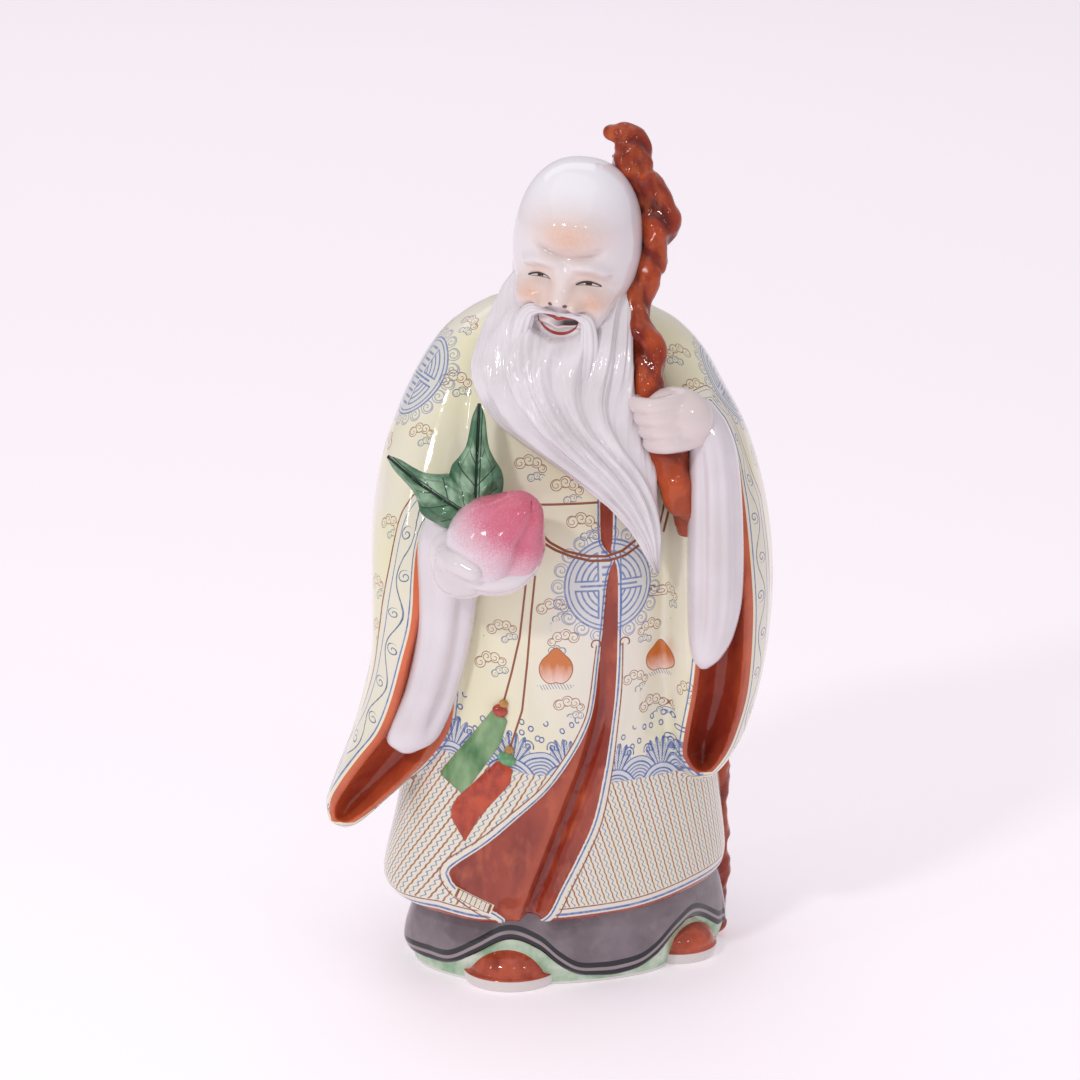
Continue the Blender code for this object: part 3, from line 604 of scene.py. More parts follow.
# Painted peaches: (x, z) seen from the front, and scale
LITTLE_PEACHES = [(-3.6, 127.0, 1.0), (35.2, 127.0, 0.84)]
# Medallions: where a ray to the robe starts, its way, and the radius
MEDALLIONS = [
    ((15.8, -200.0, 158.2), (0.0, 1.0, 0.0), 18.0), ((-54.6, -200.0, 230.0), (0.0, 1.0, 0.0), 17.0),
    ((200.0, -2.0, 224.0), (-1.0, 0.0, 0.0), 17.0), ((-4.0, 200.0, 165.0), (0.0, -1.0, 0.0), 18.0),
]


def surface_spot(tree, start, way):
    """Where a ray meets the robe, and the way its skin faces there, in steps."""
    hit, normal, _, _ = tree.ray_cast(Vector(start) * UNIT, Vector(way).normalized())
    if hit is None:
        return None
    return np.array(hit) / UNIT, np.array(normal)


def spot_in_front(tree, x, z):
    """The spot of the robe that is seen at x, z from the front."""
    return surface_spot(tree, (x, -200.0, z), (0, 1, 0))


def local_axes(normal):
    """Right and up in the plane that faces normal."""
    up = np.array([0.0, 0.0, 1.0]) - normal * normal[2]
    up /= np.linalg.norm(up)
    return np.cross(up, normal), up


def nearest_spots(points, spots):
    """Each point's place in the axes of its nearest spot, and its distance from that spot.

    The distance grows fast where two spots are equally near, so that nothing is drawn there.
    """
    best = np.full(len(points), 1e9)
    second = np.full(len(points), 1e9)
    across, rise = np.zeros(len(points)), np.zeros(len(points))
    for place, right, up, scale in spots:
        way = points - place
        gap = np.linalg.norm(way, axis=1) / scale
        closer = gap < best
        second = np.where(closer, best, np.minimum(second, gap))
        best = np.where(closer, gap, best)
        across = np.where(closer, way @ right / scale, across)
        rise = np.where(closer, way @ up / scale, rise)
    return across, rise, best + 20.0 * (1 - fade(second - best, 0.9, 2.0))


def robe_mesh():
    """The torso and both sleeves as one skin, with the two sleeve mouths hollowed out."""
    forms = [
        draped("torso", TORSO, BODY_TURN, around=260, carve=torso_carve),
        draped("left_part", LEFT_SLEEVE, 0.0, around=150, carve=LEFT_SLEEVE_FOLDS),
        draped("right_part", RIGHT_SLEEVE, RIGHT_SLEEVE_TURN, around=150, carve=RIGHT_SLEEVE_FOLDS),
    ]
    robe = fused(joined("robe", forms), 1.35, 5)
    robe = cut_away(robe, draped("left_cut", LEFT_MOUTH, around=48, step=2, square=2.0))
    robe = cut_away(robe, draped("right_cut", RIGHT_MOUTH, around=48, step=2, square=2.0))
    robe = fused(robe, 1.0, 2)
    return thinned(robe, 190000)


def robe_fields(tree, points):
    """Works out, for each point of the robe, where it lies in each painted pattern."""
    x, y, z = points.T
    torso = form_share(points, TORSO, BODY_TURN)
    left = form_share(points, LEFT_SLEEVE, 0.0)
    right = form_share(points, RIGHT_SLEEVE, RIGHT_SLEEVE_TURN)
    sleeve = torso - np.minimum(left, right)
    left_middle = sum(sides_at(LEFT_MOUTH, z)) / 2
    right_middle = sum(sides_at(RIGHT_MOUTH, z)) / 2
    inner = ((left < right) & (x > left_middle)) | ((right < left) & (x < right_middle))
    sleeve = np.where(inner & (y < 0) & (z < 195), np.minimum(sleeve, -0.15), sleeve)
    left_rim, left_run = mouth_distance(points, tree, LEFT_MOUTH, -14.0)
    right_rim, right_run = mouth_distance(points, tree, RIGHT_MOUTH, -12.0)
    rim = np.minimum(left_rim, right_rim)
    run = np.where(left_rim < right_rim, left_run, right_run)
    flat = points[:, [0, 2]]
    front = (y < -6) & (sleeve < 0.2)
    gap, _, side = line_distance(flat, flap_line(LEFT_FLAP))
    left_flap = np.where(front, -gap * side, 60.0)
    gap, _, side = line_distance(flat, flap_line(RIGHT_FLAP))
    right_flap = np.where(front, gap * side, 60.0)
    hem = z - hem_height(x)
    angle = np.arctan2(x - 0.5, -(y + 3))
    return {
        "sleeve": sleeve, "rim": rim, "run": run, "left_flap": left_flap,
        "right_flap": right_flap, "hem": hem, "angle": angle, "front": front,
    }


def strip_distance(points, line, front):
    """Signed distance from a painted cord on the front, whose two ends run on straight."""
    line = np.asarray(line, float)
    first = line[0] + (line[0] - line[1]) * 40
    last = line[-1] + (line[-1] - line[-2]) * 40
    gap, _, side = line_distance(points[:, [0, 2]], np.vstack([first, line[1:-1], last]))
    return np.where(front, gap * side, 20.0)


def robe_relief(points, field, plaque, tassel):
    """How far the front lining sinks, and the rims, the ornaments and the swells of the glaze stand out."""
    x, _, z = points.T
    torso_part = 1 - fade(field["sleeve"], -0.02, 0.02)
    lining = fade(-field["left_flap"], -0.45, 0.45) * fade(-field["right_flap"], -0.45, 0.45) * torso_part
    crease = x - through(FLAP_CREASE, z)[..., 0]
    folded = lining * (1 - fade(z, 110, 150))
    rise = -1.0 * lining * (z < 189)
    rise += folded * (0.8 * bump(crease, -3.6, 2.2) - 1.1 * bump(crease, 0.0, 1.7))
    rise += 0.4 * bump(field["rim"], 0.9, 0.9)
    rise += 1.0 * fade(-plaque, -0.35, 0.55) + 0.9 * fade(-tassel, -0.35, 0.55)
    rise += 0.12 * np.sin((0.85 * x + 0.52 * z) * 4.2) * fade(-tassel, 0.0, 1.0)
    return rise + 0.16 * ripple(points, 34.0, 5)


def lay_medallions(tree):
    found = []
    for start, way, size in MEDALLIONS:
        place, normal = surface_spot(tree, start, way)
        found.append((place, *local_axes(normal), size / 18.0))
    return found


def lay_peaches(tree):
    level = np.array([1.0, 0.0, 0.0]), np.array([0.0, 0.0, 1.0])
    return [(spot_in_front(tree, x, z)[0], *level, scale) for x, z, scale in LITTLE_PEACHES]


def lay_clouds(tree, points, normals, field, medallions):
    """Clouds at their places in front, and spread evenly over the rest of the robe."""
    rng = np.random.default_rng(11)
    clouds = []

    def add_cloud(place, normal):
        right_way, up = local_axes(normal)
        lean = rng.uniform(-0.25, 0.25)
        flip = 1.0 if rng.random() < 0.6 else -1.0
        turned = right_way * math.cos(lean) + up * math.sin(lean)
        raised = up * math.cos(lean) - right_way * math.sin(lean)
        clouds.append((place, turned * flip, raised, rng.uniform(0.94, 1.08)))

    for x, z in FRONT_CLOUDS:
        spot = spot_in_front(tree, x, z)
        if spot is not None:
            add_cloud(*spot)
    _, y, z = points.T
    clear = (field["rim"] > 16) & (z > 116) & (np.abs(normals[:, 2]) < 0.8) & (y > -24)
    clear &= (np.abs(field["left_flap"]) > 9) & (np.abs(field["right_flap"]) > 9)
    for place, _, _, scale in medallions:
        clear &= np.linalg.norm(points - place, axis=1) > 25 * scale
    for index in rng.permutation(np.nonzero(clear)[0])[:6000]:
        place = points[index]
        if all(np.linalg.norm(place - other[0]) > CLOUD_GAP for other in clouds):
            add_cloud(place, normals[index])
    return clouds


def store_front(mesh, points, field, plaque, tassel):
    """Keeps the distances from the cords, knots and ornaments on the front for the materials."""
    x, _, z = points.T
    front = field["front"]
    put(mesh, "hung", plaque, tassel)
    put(mesh, "cords", *(strip_distance(points, cord, front) for cord in (LEFT_CORD, RIGHT_CORD)), x)
    put(mesh, "sags", *(strip_distance(points, cord, front) for cord in (*SAG_CORDS, TIP_CORD)))
    (ladder_x, ladder_z), lean = LADDER
    right = (x - ladder_x) * math.cos(lean) - (z - ladder_z) * math.sin(lean)
    up = (x - ladder_x) * math.sin(lean) + (z - ladder_z) * math.cos(lean)
    put(mesh, "ladder", np.where(front, right, 40.0), up, x - through(FLAP_CREASE, z)[..., 0])


def store_lines(mesh, points, field):
    """Keeps the waist line, the height over the wave band and the lean of the stripes below it."""
    x, y, z = points.T
    front = field["front"]
    waist = np.where(front & (x > WAIST_ENDS[0]) & (x < WAIST_ENDS[1]), z - WAIST_HEIGHT, 20.0)
    base = 81.7 + 4.4 * (1 - fade(x, -8, 12)) + 0.19 * np.clip(-10.8 - x, 0, 60)
    base += (84.0 - base) * fade(y, -12, 24)
    faces_front = 1 - fade(np.abs(field["angle"]), 1.0, 2.3)
    right_side = np.where(y < 0, (x > through(FLAP_CREASE, z)[..., 0]) & (x > -14), x > 0.5)
    lean = np.where(right_side, 0.36 - 0.0035 * np.clip(x - 10, 0, 60), -0.47)
    put(mesh, "lines", waist, z - base, lean * faces_front * (z - 55.0))
    widen = np.where(right_side, 1.0, 1.0 - 0.12 * faces_front)
    left_knot, right_knot = FROG_KNOTS
    knot_x = np.where(x < (left_knot[0] + right_knot[0]) / 2, x - left_knot[0], right_knot[0] - x)
    put(mesh, "knots", np.where(front, knot_x, 30.0), z - left_knot[1], widen)


def build_robe():
    """The robe, with each pattern's place on it kept for the materials."""
    piece = robe_mesh()
    mesh = piece.data
    points = points_of(mesh)
    graph = bpy.context.evaluated_depsgraph_get()
    field = robe_fields(BVHTree.FromObject(piece, graph), points)
    normals = normals_of(mesh)
    shown = field["front"] & (normals[:, 1] < -0.2)
    plaque = np.where(shown, inside_shape(points, PLAQUE), 20.0)
    tassel = np.where(shown, inside_shape(points, TASSEL), 20.0)
    points = points + normals * robe_relief(points, field, plaque, tassel)[:, None]
    set_points(mesh, points)

    tree = BVHTree.FromObject(piece, bpy.context.evaluated_depsgraph_get())
    medallions = lay_medallions(tree)
    put(mesh, "cloud", *nearest_spots(points, lay_clouds(tree, points, normals, field, medallions)))
    put(mesh, "medal", *nearest_spots(points, medallions))
    put(mesh, "fruit", *nearest_spots(points, lay_peaches(tree)))
    put(mesh, "flaps", field["left_flap"], field["right_flap"], field["hem"])
    x, _, z = points.T
    narrow = 1 + np.where(x < 0, 0.55 * fade(z, 145, 178), 1.6 * fade(z, 184, 206))
    put(mesh, "cuff", field["rim"] * narrow, field["run"], field["sleeve"])
    store_front(mesh, points, field, plaque, tassel)
    store_lines(mesh, points, field)
    corner_values(mesh, "round", field["angle"])
    return piece, field


def corner_values(mesh, name, angle):
    """Stores a bearing at each face corner, so that no face straddles the place where it wraps."""
    corners = np.empty(len(mesh.loops), np.int32)
    mesh.loops.foreach_get("vertex_index", corners)
    starts = np.empty(len(mesh.polygons), np.int32)
    mesh.polygons.foreach_get("loop_start", starts)
    values = angle[corners]
    highest = np.maximum.reduceat(values, starts)
    lowest = np.minimum.reduceat(values, starts)
    sizes = np.diff(np.append(starts, len(corners)))
    wraps = np.repeat(highest - lowest > math.pi, sizes)
    values = np.where(wraps & (values < 0), values + 2 * math.pi, values)
    attribute = mesh.attributes.new(name, "FLOAT", "CORNER")
    attribute.data.foreach_set("value", values.astype(np.float32))


def ball(name, radii, rings, around, shape=None, pose=None):
    """A ball of three radii as rings; shape moves its points, and pose places them."""
    rise = np.linspace(-math.pi / 2 + 0.012, math.pi / 2 - 0.012, rings)
    turn = np.linspace(0, 2 * math.pi, around, endpoint=False)
    x = np.cos(rise)[:, None] * np.cos(turn)[None, :]
    y = np.cos(rise)[:, None] * np.sin(turn)[None, :]
    z = np.repeat(np.sin(rise)[:, None], around, axis=1)
    points = (np.stack([x, y, z], axis=-1) * np.asarray(radii)).reshape(-1, 3)
    local = points.copy()
    if shape:
        points = shape(points)
    if pose is not None:
        matrix = np.array(pose)
        points = points @ matrix[:3, :3].T + matrix[:3, 3]
    return skin(name, points.reshape(rings, around, 3)), local


# Relief of the face in its own axes: (across, height, half width, half height, rise); those off
# the middle are on both sides
FACE_RELIEF = [
    (0.0, 13.8, 12.5, 7.4, 6.0), (4.6, 1.7, 3.4, 2.2, 1.5), (9.0, 2.0, 3.6, 2.0, 2.8),
    (13.4, 0.2, 3.0, 1.9, 2.2), (9.0, -4.8, 4.8, 2.4, -2.4), (10.8, -10.6, 5.2, 3.8, 4.4),
    (0.0, -4.2, 3.4, 4.4, 2.4), (0.0, -9.4, 4.0, 2.7, 6.2), (5.1, -10.8, 2.5, 1.9, 5.0),
    (0.0, -20.0, 11.5, 7.0, 4.8), (0.0, -28.0, 10.0, 5.0, 8.0), (11.0, -22.5, 5.0, 5.5, 4.0),
    (9.6, -7.6, 4.2, 1.0, 1.3), (2.7, -12.5, 1.0, 0.7, -1.2), (0.0, 1.4, 1.6, 1.8, -1.2),
    (0.0, -15.0, 0.9, 1.0, -0.3), (3.4, -9.4, 0.7, 1.4, -0.5), (0.0, -25.6, 6.5, 1.6, 1.6),
]
# Relief below this height follows the curve of the smile
CHIN_TOP = -22.0
SMILE_CURVE = 0.045
FURROW_HEIGHT = 4.6
FURROW_CURVE = 0.020
MOUTH_HALF = 7.7
UPPER_LIP = -18.7
LIP_CURVE = 0.018
LIP_DIP = 0.7
LOWER_LIP = -17.6
MOUTH_DEPTH = 6.9


def mouth_edges(x):
    """The upper and the lower edge of the open mouth, whose corners turn up in a smile."""
    bowl = np.sqrt(np.clip(1 - (x / MOUTH_HALF) ** 2, 0, 1))
    return UPPER_LIP + LIP_CURVE * x**2 - LIP_DIP * bump(x, 0.0, 1.5), LOWER_LIP - MOUTH_DEPTH * bowl


def head_shape(points):
    """A high domed skull over a narrower jaw, with the face in relief on its front."""
    points = points.copy()
    unit = points / np.asarray(HEAD_RADII)
    full = (np.abs(unit) ** 2.35).sum(axis=1) ** (-1 / 2.35)
    points *= (1 + (full - 1) * fade(points[:, 2], -6.0, 8.0))[:, None]
    jaw = 1 - fade(points[:, 2], -34.0, 3.0)
    points[:, 0] *= 1 - 0.12 * jaw
    points[:, 1] *= 1 - 0.08 * jaw
    x, _, z = face_place(points).T
    wide = np.abs(x)
    front = fade(-points[:, 1], 4.0, 14.0)
    out = np.zeros(len(points))
    for place, height, half_width, half_height, rise in FACE_RELIEF:
        lift = SMILE_CURVE * x**2 if height < CHIN_TOP else 0.0
        across = bump(x, place, half_width)
        if place:
            across = across + bump(x, -place, half_width)
        out += rise * across * bump(z - lift, height, half_height)
    upper, lower = mouth_edges(x)
    inside = fade(upper - z, -0.1, 0.5) * fade(z - lower, -0.1, 0.5) * (wide < MOUTH_HALF)
    out -= 1.3 * inside
    out += 0.9 * inside * bump(lower - z, -2.2, 1.3)
    lip = bump(z - upper, 0.6, 0.6) + 1.3 * bump(lower - z, 0.6, 0.8)
    out += 0.9 * lip * (1 - fade(wide, MOUTH_HALF - 0.6, MOUTH_HALF + 0.6))
    lid_arch = 1.5 * (1 - ((wide - 8.6) / 5.4) ** 2)
    near_eye = 1 - fade(np.abs(wide - 9.0), 4.2, 6.4)
    out += 1.0 * bump(z - lid_arch, -4.4, 1.1) * near_eye
    out -= 0.12 * bump(z - 1.3 * lid_arch, -2.4, 1.2) * near_eye
    slit = -4.9 + 0.9 * (1 - ((wide - 9.2) / 4.0) ** 2)
    out -= 0.45 * bump(z, slit, 0.35) * (np.abs(wide - 9.2) < 4.0)
    fold = wide - (5.6 + 0.75 * (-11.5 - z))
    out -= 1.5 * bump(fold, 0.0, 1.1) * fade(-z, 10, 13) * (1 - fade(-z, 18, 21))
    for i in range(3):
        ray = (z + 5.4) - (wide - 14.0) * (0.45 - 0.5 * i)
        out -= 0.3 * bump(ray, 0.0, 0.35) * bump(wide, 16.0, 1.8)
    furrow = z - FURROW_HEIGHT - FURROW_CURVE * x**2
    out -= 2.2 * bump(furrow, 0.0, 1.6) * (1 - fade(wide, 8.0, 15.0))
    way = points / np.linalg.norm(points, axis=1, keepdims=True)
    return points + way * (out * front)[:, None]


def build_head():
    piece, local = ball("head", HEAD_RADII, 230, 280, head_shape, head_pose())
    put(piece.data, "face", *face_place(head_shape(local)).T)
    return piece


def smooth_path(points, step):
    """(centres, radii, places) every step along the smooth line through points, (x, y, z, radius)."""
    points = np.asarray(points, float)
    spans = np.linalg.norm(np.diff(points[:, :3], axis=0), axis=1)
    run = np.concatenate([[0.0], np.cumsum(spans)])
    keys = np.column_stack([run, points])
    t = np.linspace(0, run[-1], max(4, round(run[-1] / step)) + 1)
    found = through(keys, t)
    return found[:, :3], found[:, 3], t


def tube(name, points, around=24, step=1.0, relief=None):
    """A closed rod with domed ends; relief(t, angle) swells its radius."""
    centres, radii, t = smooth_path(points, step)
    ahead = np.gradient(centres, axis=0)
    ahead /= np.linalg.norm(ahead, axis=1, keepdims=True)
    start = np.array(Vector(ahead[0]).orthogonal().normalized())
    sides = []
    for way in ahead:
        start = start - way * (start @ way)
        start /= np.linalg.norm(start)
        sides.append(start)
    sides = np.array(sides)
    ups = np.cross(ahead, sides)
    angle = np.linspace(0, 2 * math.pi, around, endpoint=False)
    swell = relief(t[:, None], angle[None, :]) if relief else 1.0
    reach = radii[:, None] * swell * np.ones((len(t), around))
    ring = centres[:, None, :] + reach[..., None] * (
        sides[:, None, :] * np.cos(angle)[None, :, None] + ups[:, None, :] * np.sin(angle)[None, :, None]
    )
    caps = []
    for end, sign in ((0, -1), (-1, 1)):
        layers = []
        for share in (0.35, 0.65, 0.87, 0.97):
            shrink = math.sqrt(1 - share**2)
            layers.append(centres[end] + (ring[end] - centres[end]) * shrink
                          + ahead[end] * sign * share * radii[end])
        caps.append(layers)
    rows = np.array(caps[0][::-1] + list(ring) + caps[1])
    return skin(name, rows)


def staff_relief(t, angle):
    """Broad burls and hollows of a gnarled branch."""
    swirl = 0.09 * np.sin(0.22 * t + 1.4 * np.sin(0.07 * t) + angle)
    knots = 0.07 * np.sin(0.34 * t + 2 * angle) * np.sin(0.15 * t + 1.0)
    hollow = np.clip(np.sin(0.19 * t + 1.3) * np.sin(angle + 0.13 * t + 0.6) - 0.40, 0, 1)
    dents = np.clip(np.sin(0.31 * t + 2 * angle + 2 * np.sin(0.11 * t)) - 0.45, 0, 1)
    bosses = np.clip(np.sin(0.26 * t - 2 * angle + 1.7 * np.sin(0.09 * t + 2)) - 0.45, 0, 1)
    fine = 0.02 * np.sin(0.9 * t + 3 * angle) * np.sin(0.37 * t - 4 * angle)
    return 1 + swirl + knots + fine - 0.30 * hollow - 0.24 * dents + 0.18 * bosses


def build_staff():
    """The branch, with how far each point lies from its middle kept for the glaze."""
    piece = fused(tube("staff", STAFF, around=72, step=0.6, relief=staff_relief), 0.6, 3)
    points = points_of(piece.data)
    centres, radii, _ = smooth_path(STAFF, 1.5)
    best = np.full(len(points), 1e9)
    reach = np.ones(len(points))
    for centre, radius in zip(centres, radii):
        gap = np.linalg.norm(points - centre, axis=1)
        closer = gap < best
        best = np.where(closer, gap, best)
        reach = np.where(closer, gap / radius, reach)
    put(piece.data, "burl", reach)
    return piece


def peach_shape(points):
    """A round fruit drawn out to a tip at +z, with a seam down one side."""
    points = points.copy()
    high = points[:, 2] / PEACH_RADIUS
    tip = fade(high, 0.62, 1.0)
    points[:, 2] += 0.30 * PEACH_RADIUS * tip * tip
    seam = bump(np.arctan2(points[:, 1], points[:, 0]), -1.15, 0.24) * fade(high, -0.6, 0.3)
    return points * (1 - 0.15 * seam * (1 - 0.75 * tip))[:, None]


def build_peach():
    turn = Vector((0, 0, 1)).rotation_difference(Vector(PEACH_TIP).normalized()).to_matrix().to_4x4()
    pose = Matrix.Translation(PEACH_CENTRE) @ turn
    piece, local = ball("peach", (PEACH_RADIUS,) * 3, 110, 150, peach_shape, pose)
    put(piece.data, "fruit_place", local[:, 0], local[:, 1], local[:, 2] / PEACH_RADIUS)
    return piece


def staff_hand():
    """The fist that grips the staff: the back of the hand and four stacked fingers."""
    palm, _ = ball("palm", (14.0, 10.2, 12.2), 40, 60, None,
                   Matrix.Translation((39.5, -49.0, 220.6)) @ Matrix.Rotation(math.radians(-10), 4, "Z"))
    parts = [palm]
    for i in range(4):
        z = 227.6 - 4.8 * i
        x = 24.0 + 1.7 * i
        finger = [
            (x + 20, -51, z + 1.0, 3.1), (x + 13, -56.4, z + 0.6, 3.2), (x + 7, -58.2, z, 3.2),
            (x + 2.0, -54.0, z - 0.4, 3.2), (x + 1.5, -47, z - 0.6, 2.8),
        ]
        parts.append(tube(f"finger{i}", finger))
    return fused(joined("staff_hand", parts), 0.5, 10)


def peach_hand():
    """The hand that carries the peach: a heel, a thumb in front and fingers that cup it below."""
    heel, _ = ball("heel", (8.0, 10.5, 12.5), 40, 60, None,
                   Matrix.Translation((-42.0, -58.5, 172.0)) @ Matrix.Rotation(math.radians(20), 4, "Z"))
    cup, _ = ball("cup", (11.2, 10.4, 10.2), 40, 60, None, Matrix.Translation((-36.8, -70.5, 169.5)))
    parts = [heel, cup]
    thumb = [
        (-43, -65, 173.6, 5.0), (-42.0, -73.6, 175.2, 4.7), (-38.6, -80.4, 175.0, 4.2),
        (-33.4, -84.2, 172.8, 3.4),
    ]
    parts.append(tube("thumb", thumb))
    for i, under in enumerate((48, 66, 86, 106)):
        way = np.array([0.0, -math.cos(math.radians(under)), -math.sin(math.radians(under))])
        finger = []
        for turn, radius in ((-64, 3.2), (-44, 3.8), (-15, 3.9), (22, 3.6), (56, 2.7)):
            t = math.radians(turn)
            spot = np.array(PEACH_CENTRE) + 15.7 * (np.array([math.sin(t), 0, 0]) + math.cos(t) * way)
            finger.append((*spot, radius))
        parts.append(tube(f"under_finger{i}", finger))
    return fused(joined("peach_hand", parts), 0.5, 16)


LEAF_OUTLINE = [
    (0.0, 0.45), (0.1, 0.86), (0.24, 1.0), (0.38, 0.90), (0.48, 0.62), (0.58, 0.42), (0.70, 0.33),
    (0.86, 0.24), (1.0, 0.05),
]


def build_leaf(name, base, tip, width, curl):
    """A pointed leaf with a sunk rib, side veins and a wavy edge."""
    base, tip = Vector(base), Vector(tip)
    along = tip - base
    side = along.cross(Vector((0, -1, 0))).normalized()
    lift = side.cross(along).normalized()
    t = np.linspace(0, 1, 110)[:, None]
    angle = np.linspace(0, 2 * math.pi, 96, endpoint=False)[None, :]
    half = width * through(LEAF_OUTLINE, t[:, 0])[..., 0][:, None]
    thick = 1.3 + 1.6 * (1 - t)
    across = half * np.cos(angle)
    share = across / np.maximum(half, 0.01)
    wave = 2.6 * np.sin(7.5 * t + 1.6 * np.sign(across)) * (across / width) ** 2
    wave = wave + 1.4 * np.sin(21 * t + np.sign(across)) * np.abs(across / width) ** 3
    upper = np.sin(angle)
    rib = -1.5 * bump(across, 0.0, 0.9)
    side_veins = -np.abs(np.cos(math.pi * (t * 5.0 - np.abs(share) * 1.3)))
    quilt = (1.0 + side_veins) * np.sin(math.pi * np.clip(np.abs(share), 0, 1)) * (1 - fade(t, 0.5, 0.7))
    up = thick * upper - 1.4 * (across / width) ** 2 + wave + (rib + 1.7 * quilt) * (upper > 0)
    middle = np.array(base) + t[..., None] * np.array(along)
    middle = middle + np.array(lift) * (curl * np.sin(math.pi * t))[..., None]
    rows = middle + np.array(side) * across[..., None] + np.array(lift) * up[..., None]
    piece = skin(name, rows)
    put(piece.data, "leaf_place", *(value.ravel() for value in np.broadcast_arrays(share, t, across)))
    return piece


LOCKS = {
    "left_moustache": [
        (-0.8, -26.6, -16.7, 0.5), (-3.8, -26.9, -16.4, 0.8), (-7.6, -26.8, -16.0, 1.7),
        (-10.6, -26.4, -17.7, 2.5), (-12.0, -26.6, -22.5, 3.1), (-12.6, -28.2, -30.0, 3.3),
        (-12.0, -31.4, -40.0, 2.8), (-10.4, -34.6, -49.0, 2.0), (-8.4, -37.0, -58.0, 1.0),
    ],
    "right_moustache": [
        (0.8, -26.6, -16.7, 0.5), (3.8, -26.9, -16.4, 0.8), (7.6, -26.8, -16.0, 1.7),
        (10.7, -26.2, -17.7, 2.4), (12.2, -26.4, -22.5, 3.0), (13.2, -28.0, -30.0, 3.3),
        (13.4, -31.2, -40.0, 2.8), (14.0, -34.0, -49.0, 2.0), (14.6, -36.4, -58.0, 1.0),
    ],
}


def lock_relief(t, angle):
    """Combed strands along a lock of hair."""
    strand = np.abs(np.cos(4 * angle + 0.05 * t)) - 0.6
    return 1 + 0.20 * strand + 0.06 * np.sin(0.3 * t + 2 * angle)


def build_hair():
    beard = draped("beard", BEARD, 0.0, around=400, step=0.62, carve=beard_carve)
    locks = []
    for name, path in LOCKS.items():
        placed = [(*from_face(knot[:3]), knot[3]) for knot in path]
        locks.append(tube(name, placed, around=64, step=0.5, relief=lock_relief))
    return [beard] + locks


SHOES = [
    {"centre": (-20.5, -37.5, 4.0), "radii": (16.4, 15.5, 12.0), "turn": 8.0, "flare": 0.12},
    {"centre": (44.0, -12.0, 4.5), "radii": (14.2, 13.5, 10.8), "turn": 22.0, "flare": 0.07},
]


def build_shoe(name, centre, radii, turn, flare):
    """A soft shoe cut off flat at the ground, with a sole that stands out a little."""

    def shape(points):
        points = points.copy()
        z = points[:, 2] + centre[2]
        sole = 1 - fade(z, 4.6, 5.4)
        points[:, :2] *= (1 + flare * sole)[:, None]
        points[:, 2] = np.maximum(points[:, 2], -centre[2] + 0.05)
        return points

    pose = Matrix.Translation(centre) @ Matrix.Rotation(math.radians(turn), 4, "Z")
    piece, local = ball(name, radii, 90, 110, shape, pose)
    put(piece.data, "shoe_place", local[:, 0], local[:, 1], local[:, 2] + centre[2])
    return piece


def build_under_robe():
    piece = draped("under_robe", UNDER_ROBE, BASE_TURN, around=420, step=0.5, square=2.0,
                   carve=under_robe_carve)
    points = points_of(piece.data)
    x, y, z = points.T
    put(piece.data, "under_place", z - under_hem(x, y), z)
    return piece


def build_ears():
    parts = []
    for side in (-1, 1):
        pose = head_pose() @ Matrix.Translation((side * 21.5, 2.0, -9.0))
        pose @= Matrix.Rotation(math.radians(-18 * side), 4, "Z")
        ear, _ = ball(f"ear{side}", (3.0, 5.0, 10.0), 60, 60, None, pose)
        parts.append(ear)
    return joined("ears", parts)


# Materials


class Wire:
    """A value in a node tree that can be worked with as a number."""

    def __init__(self, tree, socket):
        self.tree = tree
        self.socket = socket

    def op(self, name, *others, clamp=False):
        node = self.tree.nodes.new("ShaderNodeMath")
        node.operation = name
        node.use_clamp = clamp
        for slot, value in zip(node.inputs, (self,) + others):
            plug(self.tree, slot, value)
        return Wire(self.tree, node.outputs[0])

    def __add__(self, other):
        return self.op("ADD", other)

    def __sub__(self, other):
        return self.op("SUBTRACT", other)

    def __rsub__(self, other):
        return self.op("MULTIPLY_ADD", -1.0, other)

    def __mul__(self, other):
        return self.op("MULTIPLY", other)

    __radd__ = __add__
    __rmul__ = __mul__

    def __or__(self, other):
        return self.op("MAXIMUM", other)

    def __and__(self, other):
        return self.op("MULTIPLY", other)

    def under(self, edge, soft=0.08):
        """1 where the value is less than edge, with a soft step."""
        return self.op("MULTIPLY_ADD", -1.0 / soft, edge / soft + 0.5, clamp=True)

    def over(self, edge, soft=0.08):
        return self.op("MULTIPLY_ADD", 1.0 / soft, 0.5 - edge / soft, clamp=True)

    def size(self):
        return self.op("ABSOLUTE")

    def share(self):
        """The value kept between 0 and 1."""
        return self.op("MINIMUM", 1.0).op("MAXIMUM", 0.0)

    def bell(self, half):
        """1 at 0, and fading away on both sides over half."""
        scaled = self * (1 / half)
        return (scaled * scaled * -1.0).op("EXPONENT")

    def hypot(self, other):
        return (self * self + other * other).op("SQRT")

    def near(self, middle, half, soft=0.08):
        """1 within half of middle."""
        return self.op("SUBTRACT", middle).size().under(half, soft)


def plug(tree, slot, value):
    if isinstance(value, Wire):
        tree.links.new(value.socket, slot)
    elif isinstance(value, bpy.types.NodeSocket):
        tree.links.new(value, slot)
    else:
        slot.default_value = value


def linear(r, g, b):
    """A colour given in 0 to 255 as the shader wants it."""
    found = []
    for value in (r, g, b):
        v = value / 255
        found.append(v / 12.92 if v <= 0.04045 else ((v + 0.055) / 1.055) ** 2.4)
    return (*found, 1.0)


